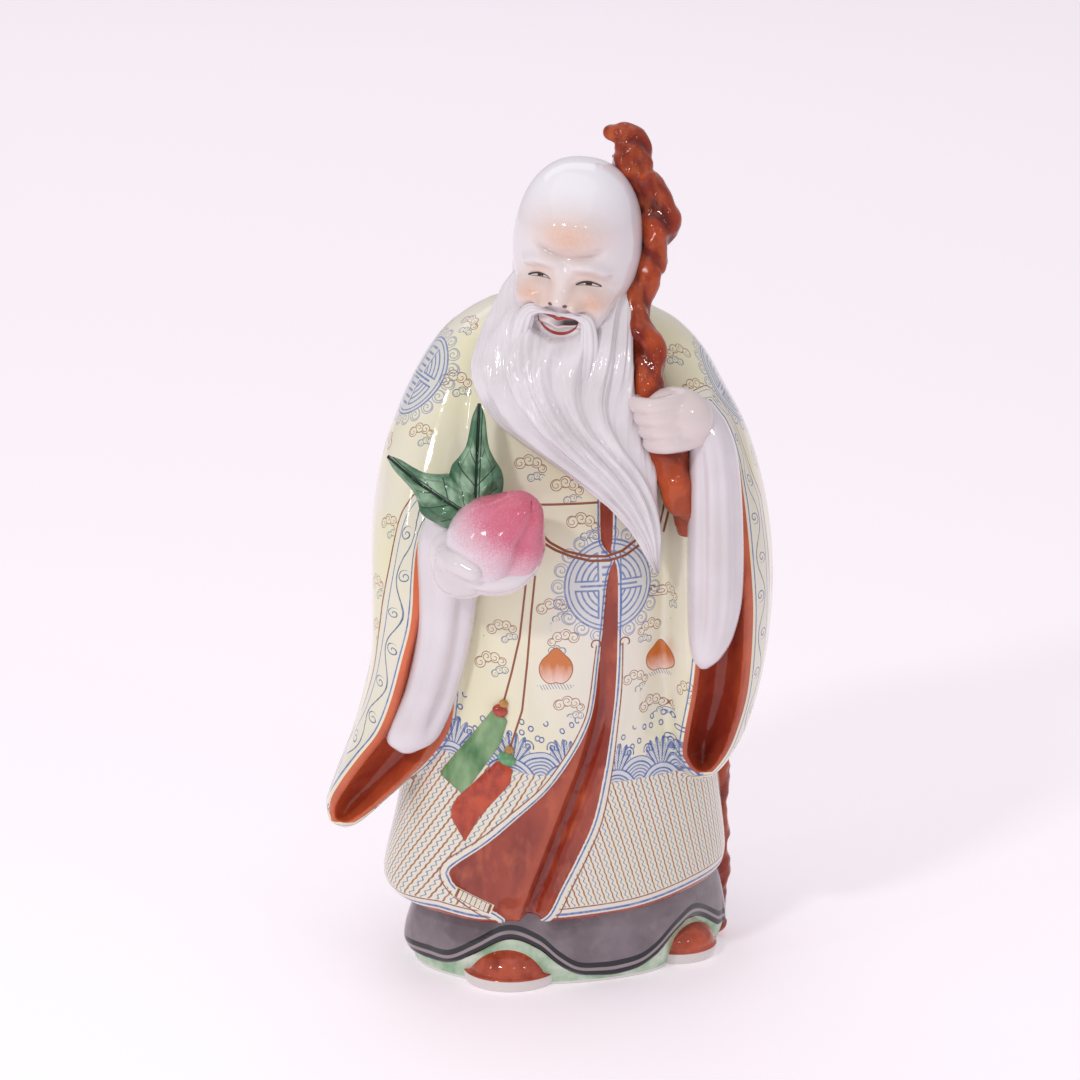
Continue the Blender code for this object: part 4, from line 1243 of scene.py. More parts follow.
class Paint:
    """Builds one glazed material, colour over colour."""

    def __init__(self, name, base, roughness=0.09, shine=0.5):
        self.material = bpy.data.materials.new(name)
        self.material.use_nodes = True
        self.tree = self.material.node_tree
        self.shader = self.tree.nodes["Principled BSDF"]
        self.shader.inputs["Roughness"].default_value = roughness
        self.shader.inputs["IOR"].default_value = 1.52
        self.shader.inputs["Specular IOR Level"].default_value = shine
        self.shader.inputs["Coat Weight"].default_value = 0.5 * shine
        self.shader.inputs["Coat Roughness"].default_value = 0.04
        node = self.tree.nodes.new("ShaderNodeTexCoord")
        self.place = node.outputs["Object"]
        self.colour = self.rgb(base)
        self.height = None

    def rgb(self, colour):
        node = self.tree.nodes.new("ShaderNodeRGB")
        node.outputs[0].default_value = linear(*colour)
        return node.outputs[0]

    def attribute(self, name):
        """The three values stored under name."""
        node = self.tree.nodes.new("ShaderNodeAttribute")
        node.attribute_name = name
        split = self.tree.nodes.new("ShaderNodeSeparateXYZ")
        self.tree.links.new(node.outputs["Vector"], split.inputs[0])
        return [Wire(self.tree, out) for out in split.outputs]

    def axes(self):
        """The place on the figure, in metres."""
        split = self.tree.nodes.new("ShaderNodeSeparateXYZ")
        self.tree.links.new(self.place, split.inputs[0])
        return [Wire(self.tree, out) for out in split.outputs]

    def single(self, name):
        node = self.tree.nodes.new("ShaderNodeAttribute")
        node.attribute_name = name
        return Wire(self.tree, node.outputs["Fac"])

    def noise(self, scale, detail=3.0, low=0.0, high=1.0, stretch=None):
        """Noise with swells about 1/scale metres apart, remapped so low to high becomes 0 to 1."""
        where = self.place
        if stretch:
            mapping = self.tree.nodes.new("ShaderNodeMapping")
            mapping.inputs["Scale"].default_value = stretch
            self.tree.links.new(where, mapping.inputs["Vector"])
            where = mapping.outputs[0]
        node = self.tree.nodes.new("ShaderNodeTexNoise")
        node.inputs["Scale"].default_value = scale
        node.inputs["Detail"].default_value = detail
        self.tree.links.new(where, node.inputs["Vector"])
        value = Wire(self.tree, node.outputs["Fac"])
        return value.op("MULTIPLY_ADD", 1 / (high - low), -low / (high - low), clamp=True)

    def over(self, colour, mask):
        """Lays colour over what is there, where mask is 1."""
        self.colour = self.blend(self.colour, colour, mask)

    def blend(self, first, second, mask):
        """A colour between two, as mask says."""
        node = self.tree.nodes.new("ShaderNodeMix")
        node.data_type = "RGBA"
        plug(self.tree, node.inputs[0], mask)
        for slot, colour in ((6, first), (7, second)):
            if isinstance(colour, tuple):
                node.inputs[slot].default_value = linear(*colour)
            else:
                self.tree.links.new(colour, node.inputs[slot])
        return node.outputs[2]

    def relief(self, height, distance):
        """Adds a fine unevenness to the glaze, height of distance metres."""
        node = self.tree.nodes.new("ShaderNodeBump")
        node.inputs["Strength"].default_value = 1.0
        node.inputs["Distance"].default_value = distance
        plug(self.tree, node.inputs["Height"], height)
        self.tree.links.new(node.outputs[0], self.shader.inputs["Normal"])

    def done(self):
        self.tree.links.new(self.colour, self.shader.inputs["Base Color"])
        return self.material


CREAM = (233, 229, 198)
WHITE = (231, 227, 230)
BLUE = (88, 116, 176)
BROWN = (140, 70, 46)
LINING = (166, 66, 44)
PALE_BLUE = (196, 204, 218)
STRAW = (229, 225, 208)
# How far apart the curls of the sleeve's vine are
VINE_STEP = 15.0


def brushed_red(paint, scale=90.0):
    """Iron-red enamel with lighter brush marks where it is thin."""
    thick = paint.noise(scale * 0.6, 3.0, low=0.3, high=0.75)
    marks = paint.noise(240.0, 2.0, low=0.5, high=0.8, stretch=(1.0, 1.0, 0.5))
    base = paint.blend((134, 42, 26), (168, 70, 44), thick)
    strokes = paint.noise(120.0, 3.0, low=0.5, high=0.72, stretch=(1.0, 1.0, 0.28))
    base = paint.blend(base, (112, 34, 22), strokes * 0.6)
    return paint.blend(base, (200, 100, 62), marks * 0.6)


def spiral(across, rise, pitch, way_round=1.0):
    """(distance, place between two turns) of a spiral line about the origin."""
    reach = across.hypot(rise)
    turn = rise.op("ARCTAN2", across) * (way_round / (2 * math.pi))
    return reach, reach.op("MULTIPLY_ADD", 1 / pitch, turn).op("FRACT")


CURL_PITCH = 1.4
# A cloud's curls: centre, radius, and the way round
CLOUD_CURLS = [
    ((-3.7, -0.5), 1.95, 1.0), ((-0.9, 1.2), 1.95, -1.0), ((2.1, 0.8), 1.8, 1.0),
    ((4.5, -0.8), 1.45, -1.0),
]
# The brown and the blue cloud of a motif: centre, scale and curls
CLOUDS = [((0.0, 0.6), 1.0, CLOUD_CURLS), ((3.6, -3.9), 0.66, CLOUD_CURLS[:3])]


def cloud_marks(paint):
    """Masks of the brown and the blue cloud of the nearest motif."""
    u, v, gap = paint.attribute("cloud")
    masks = []
    for (x, y), scale, curls in CLOUDS:
        edge, lines = None, None
        for (left, up), radius, way_round in curls:
            across = (u - x) * (1 / scale) - left
            rise = (v - y) * (1 / scale) - up
            reach, coil = spiral(across, rise, CURL_PITCH, way_round)
            line = coil.near(0.5, 0.14 / CURL_PITCH, 0.05) & reach.under(radius * 0.9) & reach.over(0.25)
            edge = reach - radius if edge is None else edge.op("MINIMUM", reach - radius)
            lines = line if lines is None else lines | line
        mask = edge.near(0.0, 0.14 / scale) | (lines * 0.9)
        masks.append(mask & gap.under(8.6, 0.1))
    return masks


MEDALLION_SCALE = 1.19
MEDALLION_CURLS = 19
CURL_RING = 16.2


def medallion(paint):
    """Mask of the fret medallion: rings, arcs and bars, and a border of curls."""
    u, v, gap = (value * (1 / MEDALLION_SCALE) for value in paint.attribute("medal"))
    ring = gap.near(14.3, 0.32) | gap.near(13.0, 0.24)
    x, y = u.size(), v.size()
    inner = gap.under(11.3)
    arcs = gap.near(11.0, 0.3) | gap.near(9.2, 0.3) | gap.near(7.4, 0.3) | gap.near(5.6, 0.3)
    arcs &= x.over(3.7) & y.over(1.5)
    sides = (x.near(3.7, 0.3) & y.over(1.5)) & gap.under(11.2)
    rungs = y.near(1.5, 0.3) & x.over(3.6) & inner
    spine = y.under(0.36) & gap.under(9.4)
    bars = ((y * (1 / 2.3)).op("FRACT").near(0.5, 0.18, 0.05)) & x.under(2.5) & inner & y.over(0.9)
    maze = arcs | sides | rungs | spine | bars
    turn = v.op("ARCTAN2", u)
    cell = (turn * (MEDALLION_CURLS / (2 * math.pi))).op("FRACT") - 0.5
    reach, coil = spiral(cell * (2 * math.pi * CURL_RING / MEDALLION_CURLS), gap - 16.1, 1.35)
    curls = (coil.near(0.5, 0.15, 0.05) & reach.under(2.0)) | reach.near(2.2, 0.18)
    curls = curls & gap.over(14.6) & gap.under(18.6)
    return (ring | maze) * 0.9 | curls * 0.65, gap


def little_peach(paint):
    """Paints the small orange peaches and the strokes under them."""
    u, v, gap = paint.attribute("fruit")
    turn = u.op("ARCTAN2", v).size()
    reach = turn.bell(0.33) * 2.0 - (math.pi - turn).bell(0.30) + 6.2
    depth = (u.hypot(v) - reach) | (gap - 24.0)
    inside = depth.under(0.0)
    shade = paint.noise(700.0, 2.0, low=0.3, high=0.7, stretch=(1.0, 1.0, 0.3))
    warm = (v * 0.14 + 0.55 + shade * 0.35).share()
    paint.over(paint.blend((238, 206, 190), (204, 118, 56), warm), inside)
    paint.over((150, 84, 48), depth.near(0.0, 0.17))
    strokes = (u * 0.9 + v * 0.5).op("FRACT").near(0.5, 0.12, 0.1)
    strokes &= (v + 6.4 + u.size() * 0.16).near(0.0, 1.1)
    paint.over((110, 128, 170), strokes & gap.under(9.6) & depth.over(0.1))


WAVE_LENGTH = 23.0
# The far and the near row of waves: shift along the hem in wave lengths, lift and radius
WAVE_ROWS = [(0.0, -2.0, 10.8), (0.5, -6.0, 10.6)]
DROP_GAP = 5.6
# Radii at which the waves and the stripes run round the robe
WAVE_RADIUS = 58.6
STRIPE_RADIUS = 50.0
STRIPES = 85


def ripple_rings(reach, outer):
    """A broad pale ribbon round a wave, then water lines inside it."""
    ribbon = reach.near(outer, 0.34) | reach.near(outer - 2.2, 0.34)
    water = (reach * (1 / 1.3)).op("FRACT").near(0.5, 0.22, 0.06) & reach.under(outer - 2.8)
    return ribbon | water * 0.85


def spray_drops(paint, around, height):
    """Small rings scattered over the waves."""
    combine = paint.tree.nodes.new("ShaderNodeCombineXYZ")
    plug(paint.tree, combine.inputs[0], around * (1 / DROP_GAP))
    plug(paint.tree, combine.inputs[1], height * (1 / DROP_GAP))
    cells = paint.tree.nodes.new("ShaderNodeTexVoronoi")
    cells.voronoi_dimensions = "2D"
    cells.inputs["Scale"].default_value = 1.0
    cells.inputs["Randomness"].default_value = 0.9
    paint.tree.links.new(combine.outputs[0], cells.inputs["Vector"])
    return (Wire(paint.tree, cells.outputs["Distance"]) * DROP_GAP).near(0.95, 0.26)


def wave_band(paint, around, height):
    """Masks of the painted sea, two rows of waves with spray and drops, and of the wash under it."""
    rows = []
    for shift, lift, outer in WAVE_ROWS:
        across = ((around * (1 / WAVE_LENGTH) + shift).op("FRACT") - 0.5) * WAVE_LENGTH
        reach = across.hypot(height - lift)
        rows.append((ripple_rings(reach, outer), reach.under(outer + 0.1), across))
    (far_lines, far_in, far_a), (near_lines, near_in, near_a) = rows
    sea = near_lines | (far_lines & near_in.under(0.5))
    inside = near_in | far_in
    b = height - 1.0
    spin = b.op("ARCTAN2", near_a)
    edge = near_a.hypot(b) - (spin * 12.0).op("SINE").size() * 3.6
    blade = (spin * (12.0 / math.pi)).op("FRACT").near(0.5, 0.17, 0.05) & edge.under(10.4)
    outline = edge.near(10.0, 0.34)
    hatch = (height * 0.9 + near_a * 0.9).op("FRACT").near(0.5, 0.13, 0.06) & edge.under(9.8)
    narrow = near_a.size().under(7.4)
    fan = (blade | outline | hatch * 0.7) & b.over(2.0) & narrow
    spout = (far_a.size() - 5.0).hypot(height - 10.5)
    curl = spout.near(2.2, 0.3) | spout.near(1.0, 0.26)
    fan |= curl & height.over(9.6)
    drops = spray_drops(paint, around, height)
    drops &= height.over(10.5) & (height + near_a.size() * 0.7).under(27.0)
    open_sky = inside.under(0.5) & edge.over(10.4)
    lines = (sea & inside) | (fan & inside.under(0.5)) | (drops & open_sky)
    wash = inside | (edge.under(10.0) & b.over(2.0) & narrow * 0.6)
    above = height.over(-0.2)
    return lines & above, wash & above


def paint_hem(paint, body, ink):
    """Waves, stripes and the border along the lower edge."""
    _, _, hem = paint.attribute("flaps")
    _, band, lean = paint.attribute("lines")
    _, _, widen = paint.attribute("knots")
    turn = paint.single("round")
    sea, wash = wave_band(paint, turn * WAVE_RADIUS, band)
    ground = body & band.under(0.0)
    paint.over((226, 221, 203), ground * 0.7)
    stripe = turn * STRIPE_RADIUS * widen + lean
    pitch = 2 * math.pi * STRIPE_RADIUS / STRIPES
    sway = (hem * (2 * math.pi / 2.5)).op("SINE")
    straight = ((stripe + sway * 0.12) * (1 / pitch)).op("FRACT").near(0.25, 0.078, 0.03)
    wavy = ((stripe + sway * 0.42) * (1 / pitch)).op("FRACT").near(0.75, 0.062, 0.03)
    paint.over((106, 130, 174), wavy & ground & ink)
    paint.over((150, 86, 58), straight & ground & ink)
    paint.over(PALE_BLUE, wash & body & 0.65)
    paint.over((68, 98, 160), sea & body & ink)
    edge = hem - hem_red(paint)
    paint.over((227, 222, 208), edge.near(2.0, 2.0, 0.3) & body)
    paint.over(BLUE, edge.near(1.3, 0.5, 0.25) & body & ink)
    paint.over(BROWN, edge.near(3.5, 0.24) & body & ink)
    paint.over(brushed_red(paint), edge.under(0.0, 0.3) & body)


def paint_panel(paint, body, ink):
    """The borders, knots and cords in front, and the red lining between the two flaps, with painted shade
    in its crease and a painted highlight on the fold beside it.
    """
    left, right, _ = paint.attribute("flaps")
    waist, _, _ = paint.attribute("lines")
    left_cord, right_cord, across = paint.attribute("cords")
    high_sag, low_sag, tip_cord = paint.attribute("sags")
    knot_x, knot_z, _ = paint.attribute("knots")
    _, _, crease = paint.attribute("ladder")
    _, _, height = paint.axes()
    beside = left | right
    paint.over(STRAW, beside.near(1.3, 1.3, 0.3) & body & height.under(0.1385, 0.0006))
    paint.over(BLUE, beside.near(0.85, 0.32) & body & ink)
    line = (beside + (height - 0.08) * 17.0).near(2.8, 0.26)
    paint.over(BROWN, line & body & ink & height.under(0.1355, 0.0006))
    knot = knot_x.hypot(knot_z).near(1.7, 0.26) & knot_z.over(-1.2)
    paint.over(BROWN, knot & body)
    hanging = left_cord.near(0.0, 0.40) & height.over(0.1128, 0.0004)
    hanging |= right_cord.near(0.0, 0.40) & height.over(0.0952, 0.0004)
    hanging &= height.under(0.163, 0.0006)
    slung = (high_sag.near(0.0, 0.5) | low_sag.near(0.0, 0.5)) & across.over(-10.0) & across.under(30.0)
    tip_lines = tip_cord.near(-0.6, 0.4) | tip_cord.near(-2.6, 0.4)
    slung |= tip_lines & height.over(0.1750, 0.0006) & height.under(0.1885, 0.0006)
    paint.over((140, 72, 38), (hanging | slung | waist.near(0.0, 0.45)) & body)
    inner = left.under(0.0) & right.under(0.0) & body & height.under(0.1885, 0.0004)
    paint.over(brushed_red(paint), inner)
    # Painted shade along the crease of the red lining, and a painted highlight on the fold's ridge beside
    # it.
    low = height.under(0.125, 0.03)
    paint.over((120, 26, 12), inner & crease.bell(1.55) & low * 0.85)
    paint.over((186, 84, 50), inner & (crease + 4.5).bell(2.45) & low * 0.55)


def paint_hung(paint):
    """The green plaque and the red tassel that hang from the cords."""
    plaque, tassel, _ = paint.attribute("hung")
    mottle = paint.noise(120.0, 4.0, low=0.32, high=0.7, stretch=(1.0, 1.0, 0.5))
    paint.over(paint.blend((56, 114, 58), (152, 184, 136), mottle), plaque.under(0.0))
    red = paint.blend((152, 40, 18), (192, 72, 34), paint.noise(200.0, 3.0, low=0.35, high=0.65))
    paint.over(red, tassel.under(0.0))
    paint.over((110, 60, 38), (plaque.near(0.0, 0.16) | tassel.near(0.0, 0.16)) * 0.4)


def paint_cuff(paint, arm, ink):
    """The border of curls and vine round a sleeve's mouth."""
    rim, run, _ = paint.attribute("cuff")
    paint.over((228, 225, 208), (rim.near(6.0, 5.2, 0.3) & arm) * 0.7)
    paint.over(BROWN, rim.near(11.6, 0.36) & ink & arm)
    paint.over(BLUE, rim.near(8.8, 0.2) & ink & arm)
    paint.over(BLUE, rim.near(1.3, 0.28) & ink)
    cell = (run * (1 / VINE_STEP)).op("FRACT") - 0.5
    sway = (run * (math.pi / VINE_STEP)).op("SINE")
    reach, coil = spiral(cell * VINE_STEP, rim - 5.0 - sway * 1.1, 1.7)
    curls = coil.near(0.5, 0.13, 0.06) & reach.under(2.5) & reach.over(0.3)
    vine = (rim - 5.0 + sway * 2.0).near(0.0, 0.24) & reach.over(2.6)
    paint.over((74, 98, 142), (curls | vine) & ink & arm)


def build_cloth(name, low=False, front=False, cuffs=False):
    """The robe's painted glaze, with the patterns that this part of it carries."""
    paint = Paint(name, CREAM)
    paint.over((228, 225, 182), paint.noise(22.0, 3.0, low=0.3, high=0.75) * 0.6)
    paint.over((234, 230, 218), paint.noise(30.0, 2.0, low=0.45, high=0.72) * 0.75)
    if front:
        x, _, z = paint.axes()
        pale = (x - 0.016).bell(0.030) & (z - 0.132).bell(0.051)
        paint.over((232, 227, 216), pale * 0.85)
    rim, _, sleeve = paint.attribute("cuff")
    _, band, _ = paint.attribute("lines")
    body = sleeve.under(0.0, 0.02)
    arm = sleeve.over(0.0, 0.02)
    ink = paint.noise(600.0, 2.0, low=0.2, high=0.6) * 0.35 + 0.65
    clear = (band.over(24.0) | arm) & (rim.over(12.4) | body)
    brown, blue = cloud_marks(paint)
    paint.over(BROWN, brown & ink & clear)
    paint.over((92, 112, 146), blue & ink & clear)
    mark, gap = medallion(paint)
    paint.over(PALE_BLUE, gap.under(14.2) * 0.45)
    paint.over(BLUE, mark & ink)
    if low:
        paint_hem(paint, body, ink)
    if front:
        little_peach(paint)
        paint_panel(paint, body, ink)
        if low:
            ladder(paint)
        paint_hung(paint)
    if cuffs:
        paint_cuff(paint, arm, ink)
    # The red of the sleeve mouths, which carries painted shade on the viewer's right.
    paint.over(sleeve_red(paint, rim), rim.under(0.2, 0.15))
    paint.relief(paint.noise(260.0, 2.0), 0.00006)
    return paint.done()


def hem_red(paint):
    """How high the red underside shows at the hem, which is nothing at the far left."""
    x, _, _ = paint.axes()
    return x.op("MULTIPLY_ADD", 1 / 0.014, 0.062 / 0.014, clamp=True) * 2.4


def ladder(paint):
    """A small rounded frame with rungs, painted at the corner of the left panel."""
    x, z, _ = paint.attribute("ladder")
    half = 6.6
    inside = (x.size() | z.size() * (half / 1.6)) - half
    frame = inside.near(0.0, 0.5, 0.1)
    rungs = (x * (1 / 1.9)).op("FRACT").near(0.5, 0.08, 0.04) & inside.under(0.0) & x.size().under(5.4)
    paint.over(STRAW, inside.under(1.2, 0.2))
    paint.over((146, 84, 50), frame | rungs)


def plain_white(name, base=WHITE):
    paint = Paint(name, base)
    paint.over((206, 197, 197), paint.noise(45.0, 2.0, low=0.4, high=0.8) * 0.6)
    paint.relief(paint.noise(180.0, 2.0), 0.00008)
    return paint.done()


def sleeve_red(paint, rim):
    """The red inside the sleeves, brighter near the rim and higher up, and darker on the viewer's right as
    painted shade.
    """
    near_rim = rim.op("MULTIPLY_ADD", 1 / 6.0, 1.0, clamp=True)
    bright = paint.noise(90.0, 3.0, low=0.3, high=0.7)
    _, _, side = paint.attribute("cords")
    # Painted shade: the lining darkens towards the viewer's right.
    right = side.over(0.0, 20.0)
    _, _, height = paint.axes()
    share = near_rim * 0.6 + bright * 0.3 + 0.05 + height.over(0.115, 0.03) * 0.3 - right * 0.4
    return paint.blend((140, 46, 28), (216, 106, 62), share.share())


def red_lining(name):
    """The inside of the sleeves, orange near the rim, with painted shade on the viewer's right."""
    paint = Paint(name, LINING, shine=0.35)
    rim, _, _ = paint.attribute("cuff")
    paint.over(sleeve_red(paint, rim), 1.0)
    paint.relief(paint.noise(300.0, 2.0), 0.00005)
    return paint.done()


def skin_glaze():
    """White glaze with a blush, painted sheen on the crown, painted shade round the eyes, beside the nose,
    along the furrow and inside the mouth, and drawn eyes, nostrils, lips and teeth.
    """
    paint = Paint("face_glaze", WHITE)
    x, y, z = paint.attribute("face")
    front = y.under(-8.0, 4.0)
    wide = x.size()
    speck = paint.noise(900.0, 2.0, low=0.25, high=0.75) * 0.25 + 0.75

    def glow(across, height, half_width, half_height):
        return (wide - across).bell(half_width) & (z - height).bell(half_height)

    # Painted sheen: the crown is painted brighter and bluer, as light from above falls on it.
    paint.over((244, 243, 249), z.over(24.0, 20.0) * 0.9)
    blush = (222, 180, 150)
    paint.over((228, 206, 190), glow(0.0, -7.5, 17.0, 8.5) * 0.5 & front)
    paint.over(blush, glow(0.0, 12.6, 12.5, 7.6) * 0.95 & front & speck)
    paint.over((222, 176, 146), glow(11.5, -11.0, 6.4, 4.4) * 0.9 & front & speck)
    # Beige round the eyes: partly the tint of the lids, partly painted shade under the brow ridge.
    paint.over((222, 192, 170), glow(9.4, -2.4, 5.4, 2.8) * 0.8 & front & speck)
    # Painted shade at the nose wings, down the sides of the nose and in the folds beside the mouth.
    paint.over((226, 188, 170), glow(3.4, -11.6, 2.4, 1.8) * 0.6 & front & speck)
    paint.over((218, 190, 174), glow(4.2, -6.4, 1.6, 4.2) * 0.55 & front)
    paint.over((196, 172, 162), glow(7.0, -13.6, 1.3, 1.8) * 0.6 & front)
    # Painted shadow along the furrow under the forehead's bulge.
    furrow = z - FURROW_HEIGHT - x * x * FURROW_CURVE
    paint.over((190, 164, 150), furrow.near(0.0, 0.5, 1.4) & wide.under(11.0, 5.0) * 0.5 & front)
    # Painted shade in the crease over each eye, below the brow ridge.
    arch = (wide - 9.0) * (wide - 9.0) * 0.06 * -1.0 + 1.5
    lid_crease_shade = (z - arch * 1.3).near(-2.4, 0.4, 1.6) & wide.near(9.8, 3.0, 3.0)
    paint.over((210, 184, 166), lid_crease_shade * 0.12 & front)
    upper, lower = mouth_wires(x)
    depth = upper - z
    gape = depth.over(0.0, 0.12) & (z - lower).over(0.0, 0.12) & front & wide.under(7.7)
    paint.over((232, 222, 220), gape)
    # Painted shade inside the mouth: a grey line below the upper teeth, and a dark gap under the upper lip
    # that deepens towards the viewer's right.
    paint.over((190, 172, 170), gape & depth.near(3.0, 0.25, 0.5))
    shade = (x + 3.5).op("MULTIPLY", 1 / 6.0, clamp=True)
    gap = depth.under(2.3, 0.5) & depth.over(0.2, 0.2)
    paint.over((60, 38, 36), gape & gap & shade)
    lips = (z - upper).near(0.6, 0.75) & wide.under(7.9)
    lips = lips | ((lower - z).near(0.4, 0.62) & wide.under(7.9))
    paint.over((164, 50, 42), lips & front)
    span = (wide - 9.2) * (1 / 4.1)
    arch = 1.0 - span * span
    level = z - (wide - 9.2) * (x.over(0.0, 1.0) * 0.11 - 0.12)
    lid = level + 4.9 - arch * 0.85
    bottom = level + 5.25 - arch * 0.05
    open_eye = lid.under(0.0) & bottom.over(0.0) & arch.over(0.0) & front
    paint.over((222, 218, 216), open_eye)
    iris = (wide - 9.0) * (wide - 9.0) + (level + 4.6) * (level + 4.6)
    paint.over((66, 44, 36), iris.under(1.35, 0.2) & open_eye)
    paint.over((20, 16, 16), iris.under(0.35, 0.1) & open_eye)
    paint.over((44, 34, 34), lid.near(0.0, 0.36, 0.12) & arch.over(-0.18, 0.1) & front)
    paint.over((120, 92, 84), bottom.near(0.0, 0.14, 0.1) & arch.over(0.0, 0.2) & front * 0.9)
    nostril = (wide - 2.7) * (wide - 2.7) + (z + 12.2) * (z + 12.2) * 1.6
    paint.over((92, 74, 70), nostril.under(0.7, 0.4) & front)
    paint.relief(paint.noise(160.0, 2.0), 0.00008)
    return paint.done()


def mouth_wires(x):
    """The upper and the lower edge of the open mouth."""
    dip = x.bell(1.5)
    square = x * x
    bowl = (square * (-1 / MOUTH_HALF**2) + 1.0).op("MAXIMUM", 0.0).op("SQRT")
    return square * LIP_CURVE + UPPER_LIP - dip * LIP_DIP, bowl * -MOUTH_DEPTH + LOWER_LIP


def hair_glaze():
    paint = Paint("hair_glaze", WHITE)
    paint.over((206, 199, 200), paint.noise(60.0, 2.0, low=0.4, high=0.8) * 0.6)
    paint.relief(paint.noise(700.0, 2.0, stretch=(1.0, 1.0, 0.2)), 0.00012)
    return paint.done()


def staff_glaze():
    """Brown-red glaze that runs dark into the hollows and thin and orange over the burls."""
    paint = Paint("staff_glaze", (116, 32, 16), 0.07, shine=0.3)
    reach, _, _ = paint.attribute("burl")
    broad = paint.noise(55.0, 3.0, low=0.38, high=0.62)
    paint.over((150, 50, 24), broad * 0.85)
    thin = reach.op("MULTIPLY_ADD", 4.5, -3.9, clamp=True)
    patch = paint.noise(85.0, 3.0, low=0.44, high=0.56)
    paint.over((196, 84, 36), thin & patch * 0.62)
    deep = reach.op("MULTIPLY_ADD", -6.0, 5.4, clamp=True)
    paint.over((78, 16, 8), deep * 0.8)
    streak = paint.noise(170.0, 3.0, low=0.52, high=0.66, stretch=(1.0, 1.0, 0.3))
    paint.over((210, 112, 62), streak * 0.3)
    # Lighter orange on the staff's end below the hand: partly its orange glaze, partly painted light
    # against the shade that falls there.
    _, _, height = paint.axes()
    butt = height.over(0.160, 0.01) & height.under(0.207, 0.006)
    paint.over((206, 96, 52), butt * 0.4)
    knobs = paint.noise(150.0, 2.0) + paint.noise(430.0, 2.0) * 0.35
    paint.relief(knobs, 0.0009)
    return paint.done()


def peach_glaze():
    paint = Paint("peach_glaze", (226, 216, 222), 0.1)
    x, y, height = paint.attribute("fruit_place")
    spray = paint.noise(1500.0, 2.0, low=0.35, high=0.65)
    soft = paint.noise(40.0, 2.0, low=0.3, high=0.7)
    pink = height.op("MULTIPLY_ADD", 0.95, 0.27).op("ADD", soft * 0.12, clamp=True)
    fine = (pink * 1.2 + spray * 0.3 - 0.28).share()
    paint.over((218, 128, 152), fine)
    deep = height.op("MULTIPLY_ADD", 1.1, -0.42, clamp=True) & (spray * 0.4 + 0.6)
    paint.over((196, 62, 84), deep)
    seam = y.op("ARCTAN2", x).near(-1.15, 0.05, 0.35) & height.over(-0.1, 0.8)
    paint.over((186, 70, 96), seam * 0.5)
    paint.relief(paint.noise(200.0, 2.0), 0.00006)
    return paint.done()


def leaf_glaze():
    """Mottled green, darker at the edges, with a drawn rib and veins."""
    paint = Paint("leaf_glaze", (78, 120, 88), 0.08, shine=0.4)
    share, t, across = paint.attribute("leaf_place")
    wide = share.size()
    paint.over((156, 190, 158), paint.noise(110.0, 3.0, low=0.45, high=0.65) * 0.9)
    paint.over((34, 84, 54), wide.over(0.80, 0.3) * 0.7)
    rib = across.near(0.0, 0.5, 0.15) | across.near(1.3, 0.2, 0.1)
    path = (t * 5.0).op("SINE") * 0.12 + 0.48
    side = (wide - path).near(0.0, 0.045, 0.03) & t.over(0.1, 0.05) & t.under(0.8, 0.1)
    slant = ((t * 5.0 - wide * 1.3).op("FRACT") - 0.5).size().over(0.455, 0.03)
    slant &= wide.under(0.8) & t.under(0.55, 0.1)
    paint.over((20, 36, 30), rib | side * 0.35 | slant * 0.8)
    paint.relief(paint.noise(300.0, 2.0), 0.0001)
    return paint.done()


def under_glaze():
    paint = Paint("under_robe_glaze", (128, 116, 122), 0.1)
    gap, z, _ = paint.attribute("under_place")
    paint.over((98, 88, 94), paint.noise(70.0, 3.0, low=0.35, high=0.7) * 0.9)
    paint.over((150, 138, 142), paint.noise(130.0, 3.0, low=0.5, high=0.75) * 0.5)
    paint.over((150, 138, 140), gap.near(2.9, 0.7, 0.25))
    paint.over((14, 18, 28), gap.near(4.7, 1.1, 0.25) | gap.near(1.0, 1.2, 0.3))
    green = paint.blend((138, 178, 140), (210, 224, 204), paint.noise(100.0, 3.0, low=0.35, high=0.65))
    paint.over(green, gap.under(-0.2, 0.3))
    paint.over((226, 222, 218), z.under(1.1, 0.4) & gap.under(-0.6, 0.3))
    paint.relief(paint.noise(240.0, 2.0), 0.00008)
    return paint.done()


def shoe_glaze():
    paint = Paint("shoe_glaze", (160, 58, 40), 0.07, shine=0.35)
    paint.over(brushed_red(paint, 80.0), 1.0)
    paint.over((218, 108, 80), paint.noise(110.0, 3.0, low=0.35, high=0.7) * 0.65)
    _, _, z = paint.attribute("shoe_place")
    paint.over((222, 216, 212), z.under(4.4, 0.3))
    return paint.done()


def gold_glaze():
    paint = Paint("gold_glaze", (196, 142, 72), 0.2)
    paint.over((120, 78, 40), paint.noise(900.0, 2.0, low=0.4, high=0.7) * 0.6)
    return paint.done()


def finish_piece(piece, material):
    """Gives a piece its glaze and puts it on the figure."""
    piece.data.materials.clear()
    for one in material if isinstance(material, list) else [material]:
        piece.data.materials.append(one)
    piece.data.shade_smooth()
    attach(piece, "root")
    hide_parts("figurine")


